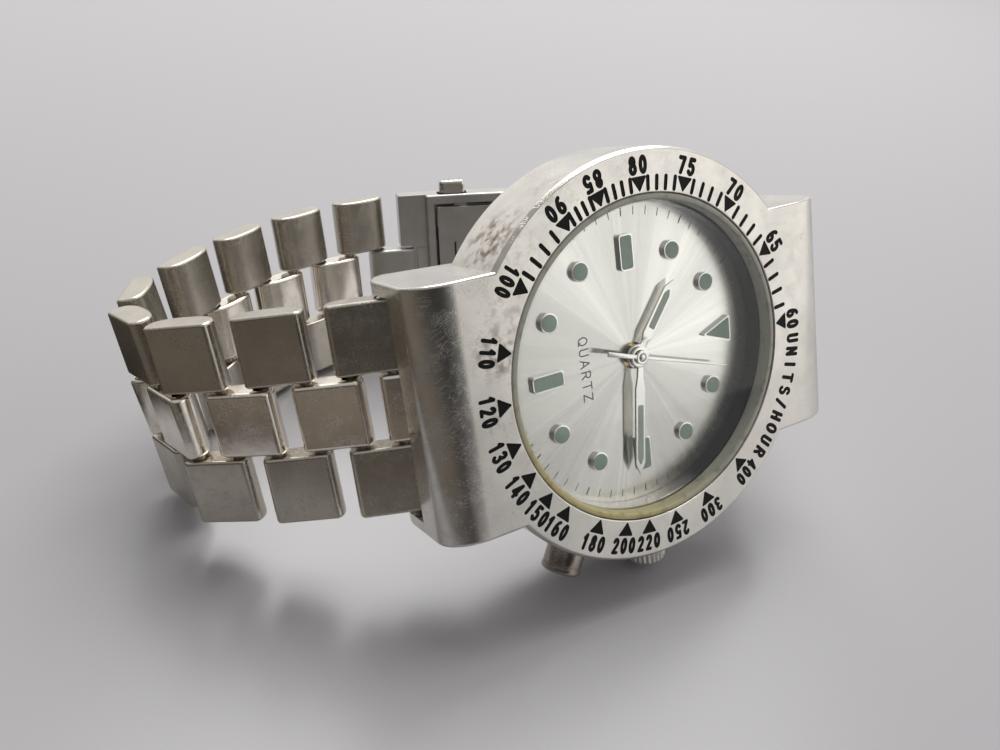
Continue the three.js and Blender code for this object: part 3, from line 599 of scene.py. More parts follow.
def dial_look():
    """A silvered dial brushed from its centre and lacquered, with a painted highlight towards 12 o'clock and
    painted shade towards 3.
    """
    look = Look("dial_sunburst")
    ray = look.vector("NORMALIZE", look.vector("MULTIPLY", look.place, (1, 0, 1)))
    fine = look.noise(42.0, 3.0, where=ray)
    wide = look.noise(7.0, 2.0, where=ray)
    fans = look.noise(1.5, 1.0, where=ray)
    x, _, z = look.parts(ray)
    tone = look.sum("ADD", look.band(fine, 0.3, 0.7, -0.035, 0.035), look.band(wide, 0.3, 0.7, 0.94, 1.03))
    # the x band is a painted highlight towards 12 o'clock and the z band painted shade towards 3
    for value, ends in (
        (fans, (0.35, 0.65, 0.86, 1.04)), (z, (-1.0, 0.1, 0.8, 1.0)), (x, (0.2, 1.0, 1.0, 1.13)),
    ):
        tone = look.sum("MULTIPLY", tone, look.band(value, *ends))
    colour = look.scaled((0.85, 0.835, 0.80), tone)
    tangent = look.node("ShaderNodeTangent", direction_type="RADIAL", axis="Y").outputs[0]
    height = look.sum("MULTIPLY", fine, 0.0012)
    return look.surface(
        Base_Color=colour, Metallic=0.92, Roughness=look.band(fine, 0.2, 0.8, 0.17, 0.21),
        Anisotropic=0.85, Anisotropic_Rotation=0.25, Tangent=tangent, Normal=look.bump(height),
        Coat_Weight=0.35, Coat_Roughness=0.06,
    )


def glass_look():
    """A flat crystal: clear, mirror-like by the angle of sight, with faint smears."""
    look = Look("crystal_glass")
    smear = look.band(look.noise(0.35, 4.0), 0.45, 0.75, 0.0, 0.05)
    mirror = look.node("ShaderNodeFresnel", {"IOR": 1.5}).outputs[0]
    front = look.sum("SUBTRACT", 1.0, look.node("ShaderNodeNewGeometry").outputs["Backfacing"])
    share = look.sum("MULTIPLY", mirror, front)
    clear = look.node("ShaderNodeBsdfTransparent", {"Color": rgb(0.985, 0.99, 0.985)}).outputs[0]
    shine = look.node("ShaderNodeBsdfGlossy", {"Roughness": smear}).outputs[0]
    look.output(look.node("ShaderNodeMixShader", {0: share, 1: clear, 2: shine}).outputs[0])
    return look.material


def gasket_look():
    look = Look("gasket_yellowed")
    grime = look.band(look.noise(1.1, 6.0), 0.5, 0.75)
    low = look.near(-8.0, 0.5, -12.0, 17.0)
    aged = look.blend(low, rgb(0.42, 0.42, 0.36), rgb(0.60, 0.53, 0.26))
    colour = look.blend(look.sum("MULTIPLY", grime, 0.5), aged, rgb(0.16, 0.13, 0.07))
    return look.surface(Base_Color=colour, Roughness=0.38, Subsurface_Weight=0.15, Subsurface_Scale=0.0005)


# Each stain is (x, y, z, radius, strength) in the head's frame.
SCALE_STAINS = ((-15.9, 0, 4.6, 3.4, 0.55), (-14.4, 0, 8.0, 2.6, 0.25), (-16.4, 0, -1.0, 2.4, 0.3))
BARREL_STAINS = ((-13.6, 3.0, 13.4, 4.4, 0.75), (-8.5, 1.2, 17.0, 3.0, 0.25))
LOOKS = {
    # the case's throat=14.4 paints shade on the inner wall's +x side
    "case": steel("case_satin", (0.70, 0.675, 0.63), 0.23, grain=0.0012, wear=0.9,
                  stains=SCALE_STAINS + BARREL_STAINS, throat=14.4),
    "back": steel("case_back_brushed", (0.66, 0.64, 0.60), 0.30, grain=0.002, stretch=(0.3, 3.0, 3.0)),
    "outer": steel("outer_link_satin", (0.56, 0.52, 0.455), 0.25, grain=0.0008, stretch=(0.4, 3.0, 3.0),
                   dents=0.006),
    "centre": steel("centre_link_polished", (0.92, 0.86, 0.77), 0.16, dents=0.016, wear=1.1),
    "clasp": steel("clasp_dull_steel", (0.56, 0.55, 0.53), 0.34, grain=0.0015, stretch=(0.4, 3.0, 3.0)),
    "polished": steel("polished_steel", (0.70, 0.68, 0.64), 0.12, dents=0.002, wear=0.5),
    "pusher": steel("pusher_worn", (0.42, 0.37, 0.33), 0.2, dents=0.004, wear=1.2),
    "hand": steel("hand_polished", (0.84, 0.83, 0.81), 0.14, wear=0.15),
    "paint": paint_look(),
    "dial": dial_look(),
    "glass": glass_look(),
    "gasket": gasket_look(),
    "lume": plain("lume_grey_green", (0.33, 0.44, 0.36), 0.55, mottle=0.07, grit=0.01, scale=4.0),
    "pale_lume": plain("lume_on_hands", (0.46, 0.52, 0.46), 0.5, mottle=0.05, grit=0.006, scale=5.0),
    "print": plain("dial_print", (0.10, 0.10, 0.10), 0.5, mottle=0.2),
    "rubber": plain("black_rubber", (0.02, 0.02, 0.02), 0.7, grit=0.004),
    "nylon": plain("white_nylon", (0.72, 0.70, 0.62), 0.5, grit=0.003),
    "plate": plain("movement_plate", (0.50, 0.49, 0.45), 0.35, metallic=1.0, grit=0.001),
    "brass": plain("wheel_brass", (0.68, 0.50, 0.22), 0.3, metallic=1.0, grit=0.001),
    "copper": plain("enamelled_copper", (0.50, 0.22, 0.09), 0.35, metallic=0.7, grit=0.012, scale=6.0),
    "board": plain("circuit_board_green", (0.03, 0.14, 0.06), 0.4, mottle=0.3, grit=0.002),
}
NODE_LOOKS = {
    "plate": ("main_plate", "train_bridge", "stator"),
    "brass": ("hour_wheel", "cannon_pinion", "seconds_wheel", "centre_wheel", "third_wheel", "step_wheel",
              "minute_wheel"),
    "polished": ("battery", "rotor", "winding_stem"),
    "copper": ("coil",),
    "board": ("circuit_board",),
    "nylon": ("movement_ring",),
    "rubber": ("case_back_gasket",),
}


def repaint_nodes():
    """Gives the CAD nodes that stay visible as they are, the movement's, their looks."""
    for look, names in NODE_LOOKS.items():
        for name in names:
            painted(frame["nodes"][name].data, LOOKS[look])


# ---- case ----
def hood_outline(side):
    roll = arc(HOOD_ROLL_START, HOOD_ROLL_DEPTH, HOOD_REACH - HOOD_ROLL_START, HOOD_ROLL_DEPTH, -90, 0, 22)
    ear = arc(HOOD_REACH - 2.1, EAR_BACK - 2.6, 2, 2.6, 0, 90, 12)
    return [(side * x, y) for x, y in [(12, 0), *roll, *ear, (12, CASE_DEPTH)]]


def disc(radius, y0, y1, segments=96):
    return spun([(0, y0), (radius, y0), (radius, y1), (0, y1)], segments, closed=False)


def rod(radius, x, y, z0, z1, segments=32):
    turns = [2 * math.pi * i / segments for i in range(segments)]
    return prism([(x + radius * math.cos(a), y + radius * math.sin(a)) for a in turns], z0, z1)


def on_spoke(mesh, clock, depth):
    """A mesh turned about y, laid along the case's radius at a clock angle with its +y pointing outwards."""
    return moved(mesh, Matrix.Rotation(math.radians(clock), 4, "Y")
                 @ Matrix.Translation((0, depth * MM, 0)) @ Matrix.Rotation(-math.pi / 2, 4, "Z"))


def hood(side):
    body = bevelled(prism(hood_outline(side), -HOOD_HALF_WIDTH, HOOD_HALF_WIDTH), 0.28, 3)
    mouth = HOOD_REACH + 1
    corners = [(mouth, SLOT_FRONT), (mouth, EAR_BACK + 1), (SLOT_FROM, EAR_BACK + 1),
               (SLOT_FROM, SLOT_FRONT + 0.5), (SLOT_FROM + 0.9, SLOT_FRONT)]
    slot = prism([(side * x, y) for x, y in corners], -SLOT_HALF_WIDTH, SLOT_HALF_WIDTH)
    hole = rod(0.48, side * LUG_PIN[0], LUG_PIN[1], -SLOT_HALF_WIDTH - 0.75, SLOT_HALF_WIDTH + 0.75)
    return carved(
        body, minus(slot), minus(disc(CAVITY_R + 1, -1, CASE_DEPTH + 1)),
        minus(disc(BACK_R + 0.1, CASE_DEPTH, EAR_BACK + 1)), minus(hole),
    )


SCALE_NUMBERS = (60, 65, 70, 75, 80, 85, 90, 100, 110, 120, 130, 140, 150, 160, 180, 200, 220, 250, 300, 400)
LAST_TICKED = 100
NUMBER_R = 17.5
NUMBER_HEIGHT = 1.5
TWO_DIGITS = (1.12, 0.7, 0.2)  # pitch, width and pen
THREE_DIGITS = (0.97, 0.58, 0.175)
TICK_R = (15.36, 16.42)
TICK_PEN = 0.2
ARROW_HALF_WIDTH = 0.7
ENGRAVED = 0.2


def scale_clock(number):
    """Where a speed in units an hour stands: one unit every so many seconds."""
    return (60 * 360 / number) % 360


def scale_patches():
    patches = []
    for number in SCALE_NUMBERS:
        clock = scale_clock(number)
        tops_out = clock <= 90 or clock >= 270
        pitch, width, pen = THREE_DIGITS if number >= 100 else TWO_DIGITS
        for sign in ring_text(str(number), clock, NUMBER_R, pitch, width, NUMBER_HEIGHT, pen, tops_out):
            patches += sign
        tip = outwards(clock) * (TICK_R[0] - 0.02)
        base = outwards(clock) * (TICK_R[1] + 0.02)
        side = clockwise(clock) * ARROW_HALF_WIDTH
        patches += soft_patch([tip, base + side, base - side], 0.1)
    wide_marks = [number for number in SCALE_NUMBERS if number <= LAST_TICKED]
    for low, high in zip(wide_marks, wide_marks[1:]):
        for step in range(1, 5):
            ray = outwards(scale_clock(low + (high - low) * step / 5))
            patches.append(stadium(ray * TICK_R[0], ray * TICK_R[1], TICK_PEN))
    for sign in ring_text("UNITS/HOUR", 26.3, NUMBER_R, 1.34, 0.8, NUMBER_HEIGHT, 0.19, True):
        patches += sign
    return patches


def case_mesh(engraving):
    barrel = spun(rounded([
        (CRYSTAL_BORE_R, 0, 0.12), (CASE_R - 0.3, 0, 0.08), (CASE_R, 0.32, 0.12), (CASE_R, CASE_DEPTH, 0.25),
        (16.1, CASE_DEPTH, 0), (16.1, CASE_DEPTH - 0.6, 0), (CAVITY_R, CASE_DEPTH - 0.6, 0),
        (CAVITY_R, 3, 0), (DIAL_OPENING_R, 3, 0), (DIAL_OPENING_R, CRYSTAL_SEAT, 0.05),
        (CRYSTAL_BORE_R, CRYSTAL_SEAT, 0),
    ]), 240)
    bore = spun([(0, 13), (0.72, 13), (0.72, 21), (0, 21)], 32, closed=False)
    stem_way = on_spoke(bore, CROWN_CLOCK, CROWN_DEPTH)
    well = spun([
        (0, 13), (1.02, 13), (1.02, PUSHER_WELL), (PUSHER_R + 0.12, PUSHER_WELL),
        (PUSHER_R + 0.12, 21), (0, 21),
    ], 48, closed=False)
    push_way = on_spoke(well, PUSHER_CLOCK, PUSHER_DEPTH)
    return carved(
        barrel, plus(hood(1)), plus(hood(-1)), minus(stem_way), minus(push_way),
        minus(engraving),
    )


def case_back_mesh():
    shell = spun(rounded([
        (0, 8.22, 0), (14.3, 8.22, 0), (14.3, 7.62, 0), (BACK_R, 7.62, 0.1), (BACK_R, 8.5, 0.15),
        (16.6, 9, 0.2), (11.4, 9, 0.1), (11.3, 8.9, 0.1), (0, 8.9, 0),
    ], closed=False), 160, closed=False)
    notch = prism(rounded([(15.1, -1, 0.3), (18, -1, 0), (18, 1, 0), (15.1, 1, 0.3)]), -9.5, -8.55)
    lay = Matrix.Rotation(math.pi / 2, 4, "X")
    places = [Matrix.Rotation(k * math.pi / 3, 4, "Y") @ lay for k in range(6)]
    return carved(shell, *[minus(moved(notch, place)) for place in places])


def spring_bar_mesh(side):
    """A telescopic bar: a tube with a shoulder and a thin tip at each end."""
    half = [(0, 10.65), (0.3, 10.65), (0.38, 10.5), (0.38, 9.7), (0.62, 9.7), (0.7, 9.6), (0.7, 9.0),
            (0.55, 8.95), (0.55, 8.75), (0.7, 8.7)]
    profile = half + [(r, -y) for r, y in reversed(half)]
    bar = spun(profile, 32, closed=False)
    at = Matrix.Translation((side * LUG_PIN[0] * MM, LUG_PIN[1] * MM, 0))
    return moved(bar, at @ Matrix.Rotation(math.pi / 2, 4, "X"))


def build_case():
    patches = scale_patches()
    cutter = slab(patches, -0.3, ENGRAVED)
    ink = slab(patches, 0.07, ENGRAVED + 0.02)
    shell = case_mesh(cutter)
    piece("case_shell", shell, HEAD, "case", LOOKS["case"], ["case_body"], angle=32)
    piece("bezel_scale_paint", ink, HEAD, "case", LOOKS["paint"])
    piece("case_back_cover", case_back_mesh(), HEAD, "case", LOOKS["back"], ["case_back"])
    crystal = spun(rounded([
        (0, 0, 0), (CRYSTAL_R, 0, 0.12), (CRYSTAL_R, CRYSTAL_BACK, 0.05), (0, CRYSTAL_BACK, 0),
    ], closed=False), 160, closed=False)
    piece("flat_crystal", crystal, HEAD, "case", LOOKS["glass"], ["crystal"])
    near, far = CRYSTAL_R + 0.07, CRYSTAL_BORE_R - 0.05
    gasket = spun(rounded([
        (near, 0.04, 0.2), (far, 0.04, 0.2), (far, CRYSTAL_BACK, 0), (near, CRYSTAL_BACK, 0),
    ]), 160)
    piece("crystal_seal", gasket, HEAD, "case", LOOKS["gasket"], ["crystal_gasket"])
    for side, hour in ((1, "12"), (-1, "6")):
        piece(f"lug_bar_{hour}", spring_bar_mesh(side), HEAD, "case", LOOKS["polished"],
              [f"spring_bar_{hour}"])


# ---- dial and hands ----
def bar_corners(r0, r1, half0, half1, clock):
    """The corners of a bar along a clock angle, half0 wide to each side at r0 and half1 at r1."""
    ray, side = outwards(clock), clockwise(clock)
    return [ray * r0 - side * half0, ray * r1 - side * half1, ray * r1 + side * half1,
            ray * r0 + side * half0]


def marker_patches(hour, inset):
    """An hour marker's outline, drawn in by inset."""
    clock = 30 * hour
    r = MARKER_CIRCLE_R
    if hour == 12:
        tip, base, half = r - 1.95 + 2.6 * inset, r + 1.2 - inset, 1.2 - 1.5 * inset
        ray, side = outwards(clock), clockwise(clock)
        return soft_patch([ray * tip, ray * base - side * half, ray * base + side * half], 0.1)
    if hour % 3 == 0:
        half = 0.5 - inset
        return soft_patch(bar_corners(r - 2.05 + inset, r + 0.75 - inset, half, half, clock), 0.25)
    return [stadium(outwards(clock) * r, outwards(clock) * (r + 0.001), 0.92 - inset, 20)]


def hand_patches(stations):
    """A straight hand pointing to 12 from (distance, half width) stations."""
    right = [Vector((r, -half)) for r, half in stations]
    left = [Vector((r, half)) for r, half in reversed(stations) if half > 0]
    return [right + left]


def ring_mesh(inner, outer, y0, y1, edge=0.04):
    return spun(rounded([(inner, y0, edge), (outer, y0, edge), (outer, y1, 0), (inner, y1, 0)], 3), 64)


def turned_to(mesh, clock):
    return moved(mesh, Matrix.Rotation(math.radians(clock), 4, "Y"))


def hand(name, body, clock, blade, lume, hub, y0, y1, slot_nodes):
    frame_mesh = carved(
        bevelled(slab(blade, y0, y1), 0.05), plus(ring_mesh(hub * 0.58, hub, y0 - 0.04, y1)),
        minus(disc(hub * 0.6, y0 - 1, y1 + 1, 48)),
    )
    piece(name, turned_to(frame_mesh, clock), HEAD, body, LOOKS["hand"], slot_nodes)
    if lume:
        strip = bevelled(slab(lume, y0 - 0.025, y0 + 0.03), 0.02)
        piece(name + "_lume", turned_to(strip, clock), HEAD, body, LOOKS["pale_lume"])


WORD_AT = -5.5  # the word on the dial, towards 6 o'clock


def build_dial():
    plate = spun(rounded([
        (DIAL_HOLE_R, DIAL_FACE, 0.03), (DIAL_R, DIAL_FACE, 0.05), (DIAL_R, DIAL_BACK, 0),
        (DIAL_HOLE_R, DIAL_BACK, 0),
    ]), 180)
    piece("sunburst_dial", plate, HEAD, "case", LOOKS["dial"], ["dial"])
    rims, lumes = [], []
    for hour in range(1, 13):
        rims.append(bevelled(slab(marker_patches(hour, 0), MARKER_TOP, DIAL_FACE + 0.05), 0.07, 3))
        lume = slab(marker_patches(hour, 0.13), MARKER_TOP - 0.04, MARKER_TOP + 0.06)
        lumes.append(bevelled(lume, 0.03))
    piece("marker_rims", joined(*rims), HEAD, "case", LOOKS["hand"])
    piece("marker_lume", joined(*lumes), HEAD, "case", LOOKS["lume"])
    ticks = []
    for minute in range(60):
        half = 0.055 if minute % 5 == 0 else 0.035
        ticks.append(bar_corners(13.0, 13.75, half, half, 6 * minute))
    word = []
    right, up = Vector((0, -1)), Vector((1, 0))
    for i, sign in enumerate("QUARTZ"):
        at = up * WORD_AT + right * (i - 2.5) * 1.06
        word += sign_patches(sign, at, right, up, 0.82, 1.14, 0.055)
    ink = slab(ticks + word, DIAL_FACE - 0.012, DIAL_FACE + 0.01)
    piece("dial_print", ink, HEAD, "case", LOOKS["print"])


def build_hands():
    baton = hand_patches([(0.3, 0.34), (1.6, 0.4), (2.2, 0.62), (6.9, 0.62), (8.0, 0.0)])
    lume = hand_patches([(2.9, 0.3), (3.1, 0.36), (6.4, 0.36), (6.9, 0.1)])
    hand("hour_baton", "hour_hand", HOUR_CLOCK, baton, lume, 1.15, 2.36, 2.56, ["hour_hand"])
    baton = hand_patches([(0.3, 0.3), (2.0, 0.36), (3.0, 0.56), (10.3, 0.56), (11.5, 0.0)])
    lume = hand_patches([(4.6, 0.26), (4.8, 0.32), (9.8, 0.32), (10.4, 0.08)])
    hand("minute_baton", "minute_hand", MINUTE_CLOCK, baton, lume, 0.98, 2.0, 2.2, ["minute_hand"])
    needle = hand_patches([(-4, 0.24), (-1.2, 0.2), (0, 0.17), (10.7, 0.09)])
    hand("seconds_needle", "seconds_hand", SECONDS_CLOCK, needle, None, 0.66, 1.7, 1.82, ["seconds_hand"])
    cap = spun(rounded([
        (0, 1.55, 0), (0.34, 1.58, 0.1), (0.36, 1.9, 0), (0, 1.9, 0),
    ], 3, closed=False), 40, closed=False)
    piece("seconds_cap", cap, HEAD, "seconds_hand", LOOKS["hand"])


# ---- crown and pusher ----
def fluted_mesh(stations, flutes, segments):
    """A body turned about y from (radius, y, flute depth) stations."""
    points, faces = [], []
    for r, y, depth in stations:
        for i in range(segments):
            a = 2 * math.pi * i / segments
            ripple = depth * (0.5 - 0.5 * math.cos(flutes * a)) ** 0.6
            points.append(((r - ripple) * math.cos(a), y, -(r - ripple) * math.sin(a)))
    for k in range(len(stations) - 1):
        low, high = k * segments, (k + 1) * segments
        for i in range(segments):
            j = (i + 1) % segments
            faces.append([low + i, low + j, high + j, high + i])
    last = (len(stations) - 1) * segments
    faces += [list(range(segments)), [last + i for i in reversed(range(segments))]]
    return mesh_of(points, faces)


def build_controls():
    crown = fluted_mesh([
        (0.9, 19.45, 0), (1.4, 19.45, 0), (1.7, 19.5, 0), (1.85, 19.62, 0), (1.97, 19.8, 0.05),
        (2.0, 19.92, 0.15), (2.0, 20.9, 0.15), (1.96, 21.12, 0.1), (1.86, 21.28, 0.03), (1.72, 21.38, 0),
        (1.5, 21.45, 0), (0.8, 21.5, 0),
    ], 26, 208)
    piece("fluted_crown", on_spoke(crown, CROWN_CLOCK, CROWN_DEPTH), HEAD, "crown", LOOKS["polished"],
          ["crown"])
    r = PUSHER_R
    pusher = spun(rounded([
        (0, 15.9, 0), (0.9, 15.9, 0.1), (0.9, 19.15, 0), (r - 0.04, 19.15, 0.08), (r - 0.04, 20.75, 0.03),
        (r - 0.12, 20.8, 0.03), (r - 0.12, 20.92, 0.03), (r, 20.97, 0.03), (r, 21.4, 0.12),
        (r - 0.22, 21.6, 0.1), (r - 0.5, 21.6, 0.05), (r - 0.58, 21.54, 0.05), (0, 21.54, 0),
    ], 4, closed=False), 80, closed=False)
    piece("pusher_cap", on_spoke(pusher, PUSHER_CLOCK, PUSHER_DEPTH), HEAD, "pusher", LOOKS["pusher"],
          ["pusher"])


# ---- bracelet ----
def block_outline(x0, x1):
    """A link block's side outline: a flat outer face at +y, rounded noses and a crowned inner side."""
    middle, half = (x0 + x1) / 2, (x1 - x0) / 2
    waist, fullness = 0.45, 2 / 2.6
    right = arc(x1 - 0.6, waist, 0.6, LINK_HALF_THICK - waist, 0, 90, 7)
    left = arc(x0 + 0.6, waist, 0.6, LINK_HALF_THICK - waist, 90, 180, 7)
    crown = []
    for k in range(1, 20):
        a = math.pi * (1 + k / 20)
        u, v = math.cos(a), -math.sin(a)
        x = middle + half * math.copysign(abs(u) ** fullness, u)
        crown.append((x, waist - (LINK_HALF_THICK + waist) * v ** fullness))
    return right + left + crown


def block(x0, x1, z0, z1, edge=0.3):
    return bevelled(prism(block_outline(x0, x1), z0, z1), edge, 4, 40)


def outer_pair(start, pins, bore=None):
    steps = [plus(block(start, start + LINK_LENGTH, -BRACELET_HALF_WIDTH, -OUTER_FROM))]
    steps += [plus(rod(PIN_R, x, 0, -OUTER_FROM - 0.5, OUTER_FROM + 0.5)) for x in pins]
    if bore:
        steps.append(minus(rod(bore, 0, 0, -12, 12)))
    return carved(block(start, start + LINK_LENGTH, OUTER_FROM, BRACELET_HALF_WIDTH), *steps)


def centre_block(x0, x1, bores):
    body = block(x0, x1, -CENTRE_HALF_WIDTH, CENTRE_HALF_WIDTH, 0.42)
    return carved(body, *[minus(rod(r, x, 0, -5, 5)) for x, r in bores])


def chain_frames(side, count, end):
    """The frames of one side's links, from the case outwards."""
    names = [f"link_{side}_{k}_hinge" for k in range(1, count + 1)]
    targets = [joint_at(name)[0] for name in names[1:]] + [end]
    return [frame_towards(name, target) for name, target in zip(names, targets)]


def build_links():
    lug_bore = 0.82
    lug_outer = outer_pair(-PIN_INSET, [LINK_PITCH / 2], lug_bore)
    lug_centre = centre_block(-PIN_INSET, PIN_INSET + 0.3, [(0, lug_bore)])
    pins = [LINK_PITCH / 2, LINK_PITCH]
    outer = outer_pair(BLOCK_START, pins)
    open_outer = outer_pair(BLOCK_START, pins[:1])
    centre = centre_block(-PIN_INSET, LINK_LENGTH - PIN_INSET, [(0, 0.75), (LINK_PITCH / 2, 0.6)])
    sides = (("6", 9, joint_at("clasp_hinge")[0], Matrix.Identity(4)),
             ("12", 3, OPEN_PIVOT, Matrix.Rotation(math.pi, 4, "X")))
    for side, count, end, flip in sides:
        for k, matrix in enumerate(chain_frames(side, count, end), 1):
            pair = lug_outer if k == 1 else open_outer if side == "12" and k == count else outer
            middle = lug_centre if k == 1 else centre
            tag, body = f"{side}_{k}", f"link_{side}_{k}"
            place = matrix @ flip
            piece(f"satin_pair_{tag}", pair.copy(), place, body, LOOKS["outer"],
                  [f"outer_links_{tag}"])
            piece(f"polished_block_{tag}", middle.copy(), place, body, LOOKS["centre"],
                  [f"centre_link_{tag}"])


# ---- clasp ----
COVER_OUTER, COVER_INNER, COVER_LIP = 1.35, 0.35, -2.2
COVER_WALL_IN = BRACELET_HALF_WIDTH - 1.1
COVER_START = BLOCK_START + 3.4
COVER_END = CLASP_LENGTH - 2.6
MIDDLE_TOP, MIDDLE_BOTTOM = 0.1, -0.6
INNER_TOP, INNER_BOTTOM = -1.2, -1.9
LEAF_HALF_WIDTH = 8.2
KNUCKLE = CLASP_LENGTH - 0.8
BUTTON_FROM, BUTTON_TO = 8, 11.2
BUTTON_TOP, BUTTON_BOTTOM, BUTTON_OUT = 0.1, -1.5, 1.6


def band(s0, s1, y0, y1, z0, z1):
    """A strip of the clasp's curve from s0 to s1 along it."""
    steps = max(1, math.ceil(s1 - s0))
    along = [s0 + (s1 - s0) * i / steps for i in range(steps + 1)]
    outline = [clasp_point(s, y0) for s in along] + [clasp_point(s, y1) for s in reversed(along)]
    return prism(outline, z0, z1)


def pin_at(s, y, radius, z0, z1):
    return rod(radius, *clasp_point(s, y), z0, z1)


def cover_mesh():
    wide = BRACELET_HALF_WIDTH
    shell = bevelled(band(COVER_START, COVER_END, COVER_LIP, COVER_OUTER, -wide, wide), 0.3, 3)
    hollow = band(COVER_START + 1, COVER_END + 2, COVER_LIP - 1, COVER_INNER, -COVER_WALL_IN, COVER_WALL_IN)
    steps = [minus(hollow), plus(centre_block(-PIN_INSET, BLOCK_START + 2.6, [(0, 0.75)]))]
    neck_end = COVER_START + 0.5
    for y0, y1, s0, z0, z1 in (
        (-1.1, 1, BLOCK_START + 2, -CENTRE_HALF_WIDTH, CENTRE_HALF_WIDTH),
        (-1.1, 1.2, BLOCK_START, OUTER_FROM, wide), (-1.1, 1.2, BLOCK_START, -wide, -OUTER_FROM),
        (-0.9, 0.9, BLOCK_START + 1.6, -OUTER_FROM - 0.5, OUTER_FROM + 0.5),
    ):
        steps.append(plus(bevelled(band(s0, neck_end, y0, y1, z0, z1), 0.15)))
    steps.append(plus(pin_at(*FOLD_PIN, 0.5, -COVER_WALL_IN - 0.4, COVER_WALL_IN + 0.4)))
    for z0, z1 in ((COVER_WALL_IN - 1, wide + 1), (-wide - 1, 1 - COVER_WALL_IN)):
        window = band(BUTTON_FROM - 0.25, BUTTON_TO + 0.25, BUTTON_BOTTOM - 0.2, BUTTON_TOP + 0.2, z0, z1)
        steps.append(minus(window))
    return carved(shell, *steps)


def middle_leaf_mesh():
    w = LEAF_HALF_WIDTH
    fold, hinge = FOLD_PIN[0], LEAF_HINGE[0]
    plate = bevelled(band(hinge + 1.4, fold - 1, MIDDLE_BOTTOM, MIDDLE_TOP, -w, w), 0.12)
    steps = []
    for z0, z1 in ((3.1, w), (-w, -3.1)):
        steps.append(plus(band(fold - 1.5, fold, MIDDLE_BOTTOM, MIDDLE_TOP, z0, z1)))
        steps.append(plus(pin_at(*FOLD_PIN, 0.8, z0, z1)))
    for z0, z1 in ((5.6, w - 1.2), (1.2 - w, -5.6)):
        arm = band(hinge - 0.9, hinge + 1.6, MIDDLE_BOTTOM - 0.6, MIDDLE_TOP, z0, z1)
        steps.append(plus(bevelled(arm, 0.1)))
    steps.append(plus(pin_at(*LEAF_HINGE, 0.45, -5.8, 5.8)))
    steps.append(minus(pin_at(*FOLD_PIN, 0.6, -w - 1, w + 1)))
    steps.append(minus(bevelled(band(hinge + 2.2, hinge + 3.2, -3, 2, -2.6, 3.2), 0.2)))
    return carved(plate, *steps)


def inner_leaf_mesh():
    w = LEAF_HALF_WIDTH
    hinge = LEAF_HINGE[0]
    plate = bevelled(band(hinge + 2, CLASP_LENGTH - 7.2, INNER_BOTTOM, INNER_TOP, -w, w), 0.12)
    hook = [(KNUCKLE - 1.6, INNER_BOTTOM), (KNUCKLE - 0.4, INNER_BOTTOM), (KNUCKLE + 0.6, -0.6),
            (KNUCKLE, 0.2), (KNUCKLE - 0.8, -0.2), (KNUCKLE - 1.6, INNER_TOP)]
    tongue = band(CLASP_LENGTH - 7.6, KNUCKLE - 0.8, INNER_BOTTOM, INNER_TOP, -2.7, 2.7)
    window = band(hinge + 1.1, hinge + 3.7, -3, 2, -3.2, 3.8)
    skin = band(COVER_START + 1.4, hinge + 2.6, INNER_BOTTOM, INNER_BOTTOM + 0.35, -w, w)
    return carved(
        plate, plus(bevelled(skin, 0.08)),
        plus(band(hinge + 0.2, hinge + 2.5, INNER_BOTTOM, INNER_TOP, -5.2, 5.2)),
        plus(pin_at(*LEAF_HINGE, 0.9, -5.2, 5.2)), plus(bevelled(tongue, 0.1)),
        plus(prism([clasp_point(*corner) for corner in hook], -2.69, 2.69)),
        plus(pin_at(KNUCKLE, 0, 0.9, -2.7, 2.7)), minus(pin_at(*LEAF_HINGE, 0.57, -7, 7)),
        minus(bevelled(window, 0.25)),
    )


def button_mesh(side):
    """A push button with a grooved head, on the clasp's side +1 or -1."""
    ends = sorted((side * (COVER_WALL_IN + 0.6), side * (BRACELET_HALF_WIDTH + BUTTON_OUT)))
    body = bevelled(band(BUTTON_FROM, BUTTON_TO, BUTTON_BOTTOM, BUTTON_TOP, *ends), 0.45, 4)
    grooves = []
    for k in range(1, 5):
        s = BUTTON_FROM + k * (BUTTON_TO - BUTTON_FROM) / 5
        mouth = sorted((side * (BRACELET_HALF_WIDTH + BUTTON_OUT - 0.1), side * (BRACELET_HALF_WIDTH + 2)))
        grooves.append(minus(band(s - 0.1, s + 0.1, BUTTON_BOTTOM - 1, BUTTON_TOP + 1, *mouth)))
    return carved(body, *grooves)


def build_clasp():
    leaves = {"cover": cover_mesh, "middle_leaf": middle_leaf_mesh, "inner_leaf": inner_leaf_mesh}
    for tag, make in leaves.items():
        body = f"clasp_{tag}"
        piece(f"folding_{tag}", make(), CLASP, body, LOOKS["clasp"], [body])
    for side, tag in ((1, "upper"), (-1, "lower")):
        piece(f"push_button_{tag}", button_mesh(side), CLASP, f"clasp_button_{tag}", LOOKS["polished"],
              [f"clasp_button_{tag}"])


# ---- table, light and camera ----
# painted dark shade on the table's front left, seen only in reflections: its colours, its angles and its
# near edge
REFLECTED_SHADE_PALE, REFLECTED_SHADE_DARK = rgb(0.16, 0.14, 0.12), rgb(0.018, 0.016, 0.014)
REFLECTED_SHADE_FROM, REFLECTED_SHADE_TO = math.radians(-145), math.radians(-8)
REFLECTED_SHADE_NEAR = 58
TABLE_DIM, TABLE_BRIGHT = rgb(0.37, 0.365, 0.382), rgb(0.38, 0.375, 0.393)


def cloth_colour(look):
    """The colour of the painted shade that reflections see on the table, paler to the left."""
    jittered_x = look.sum("MULTIPLY_ADD", look.noise(0.1, 3.0), 20.0, look.parts(look.place)[0])
    return look.blend(look.band(jittered_x, -85, -25), REFLECTED_SHADE_PALE, REFLECTED_SHADE_DARK)


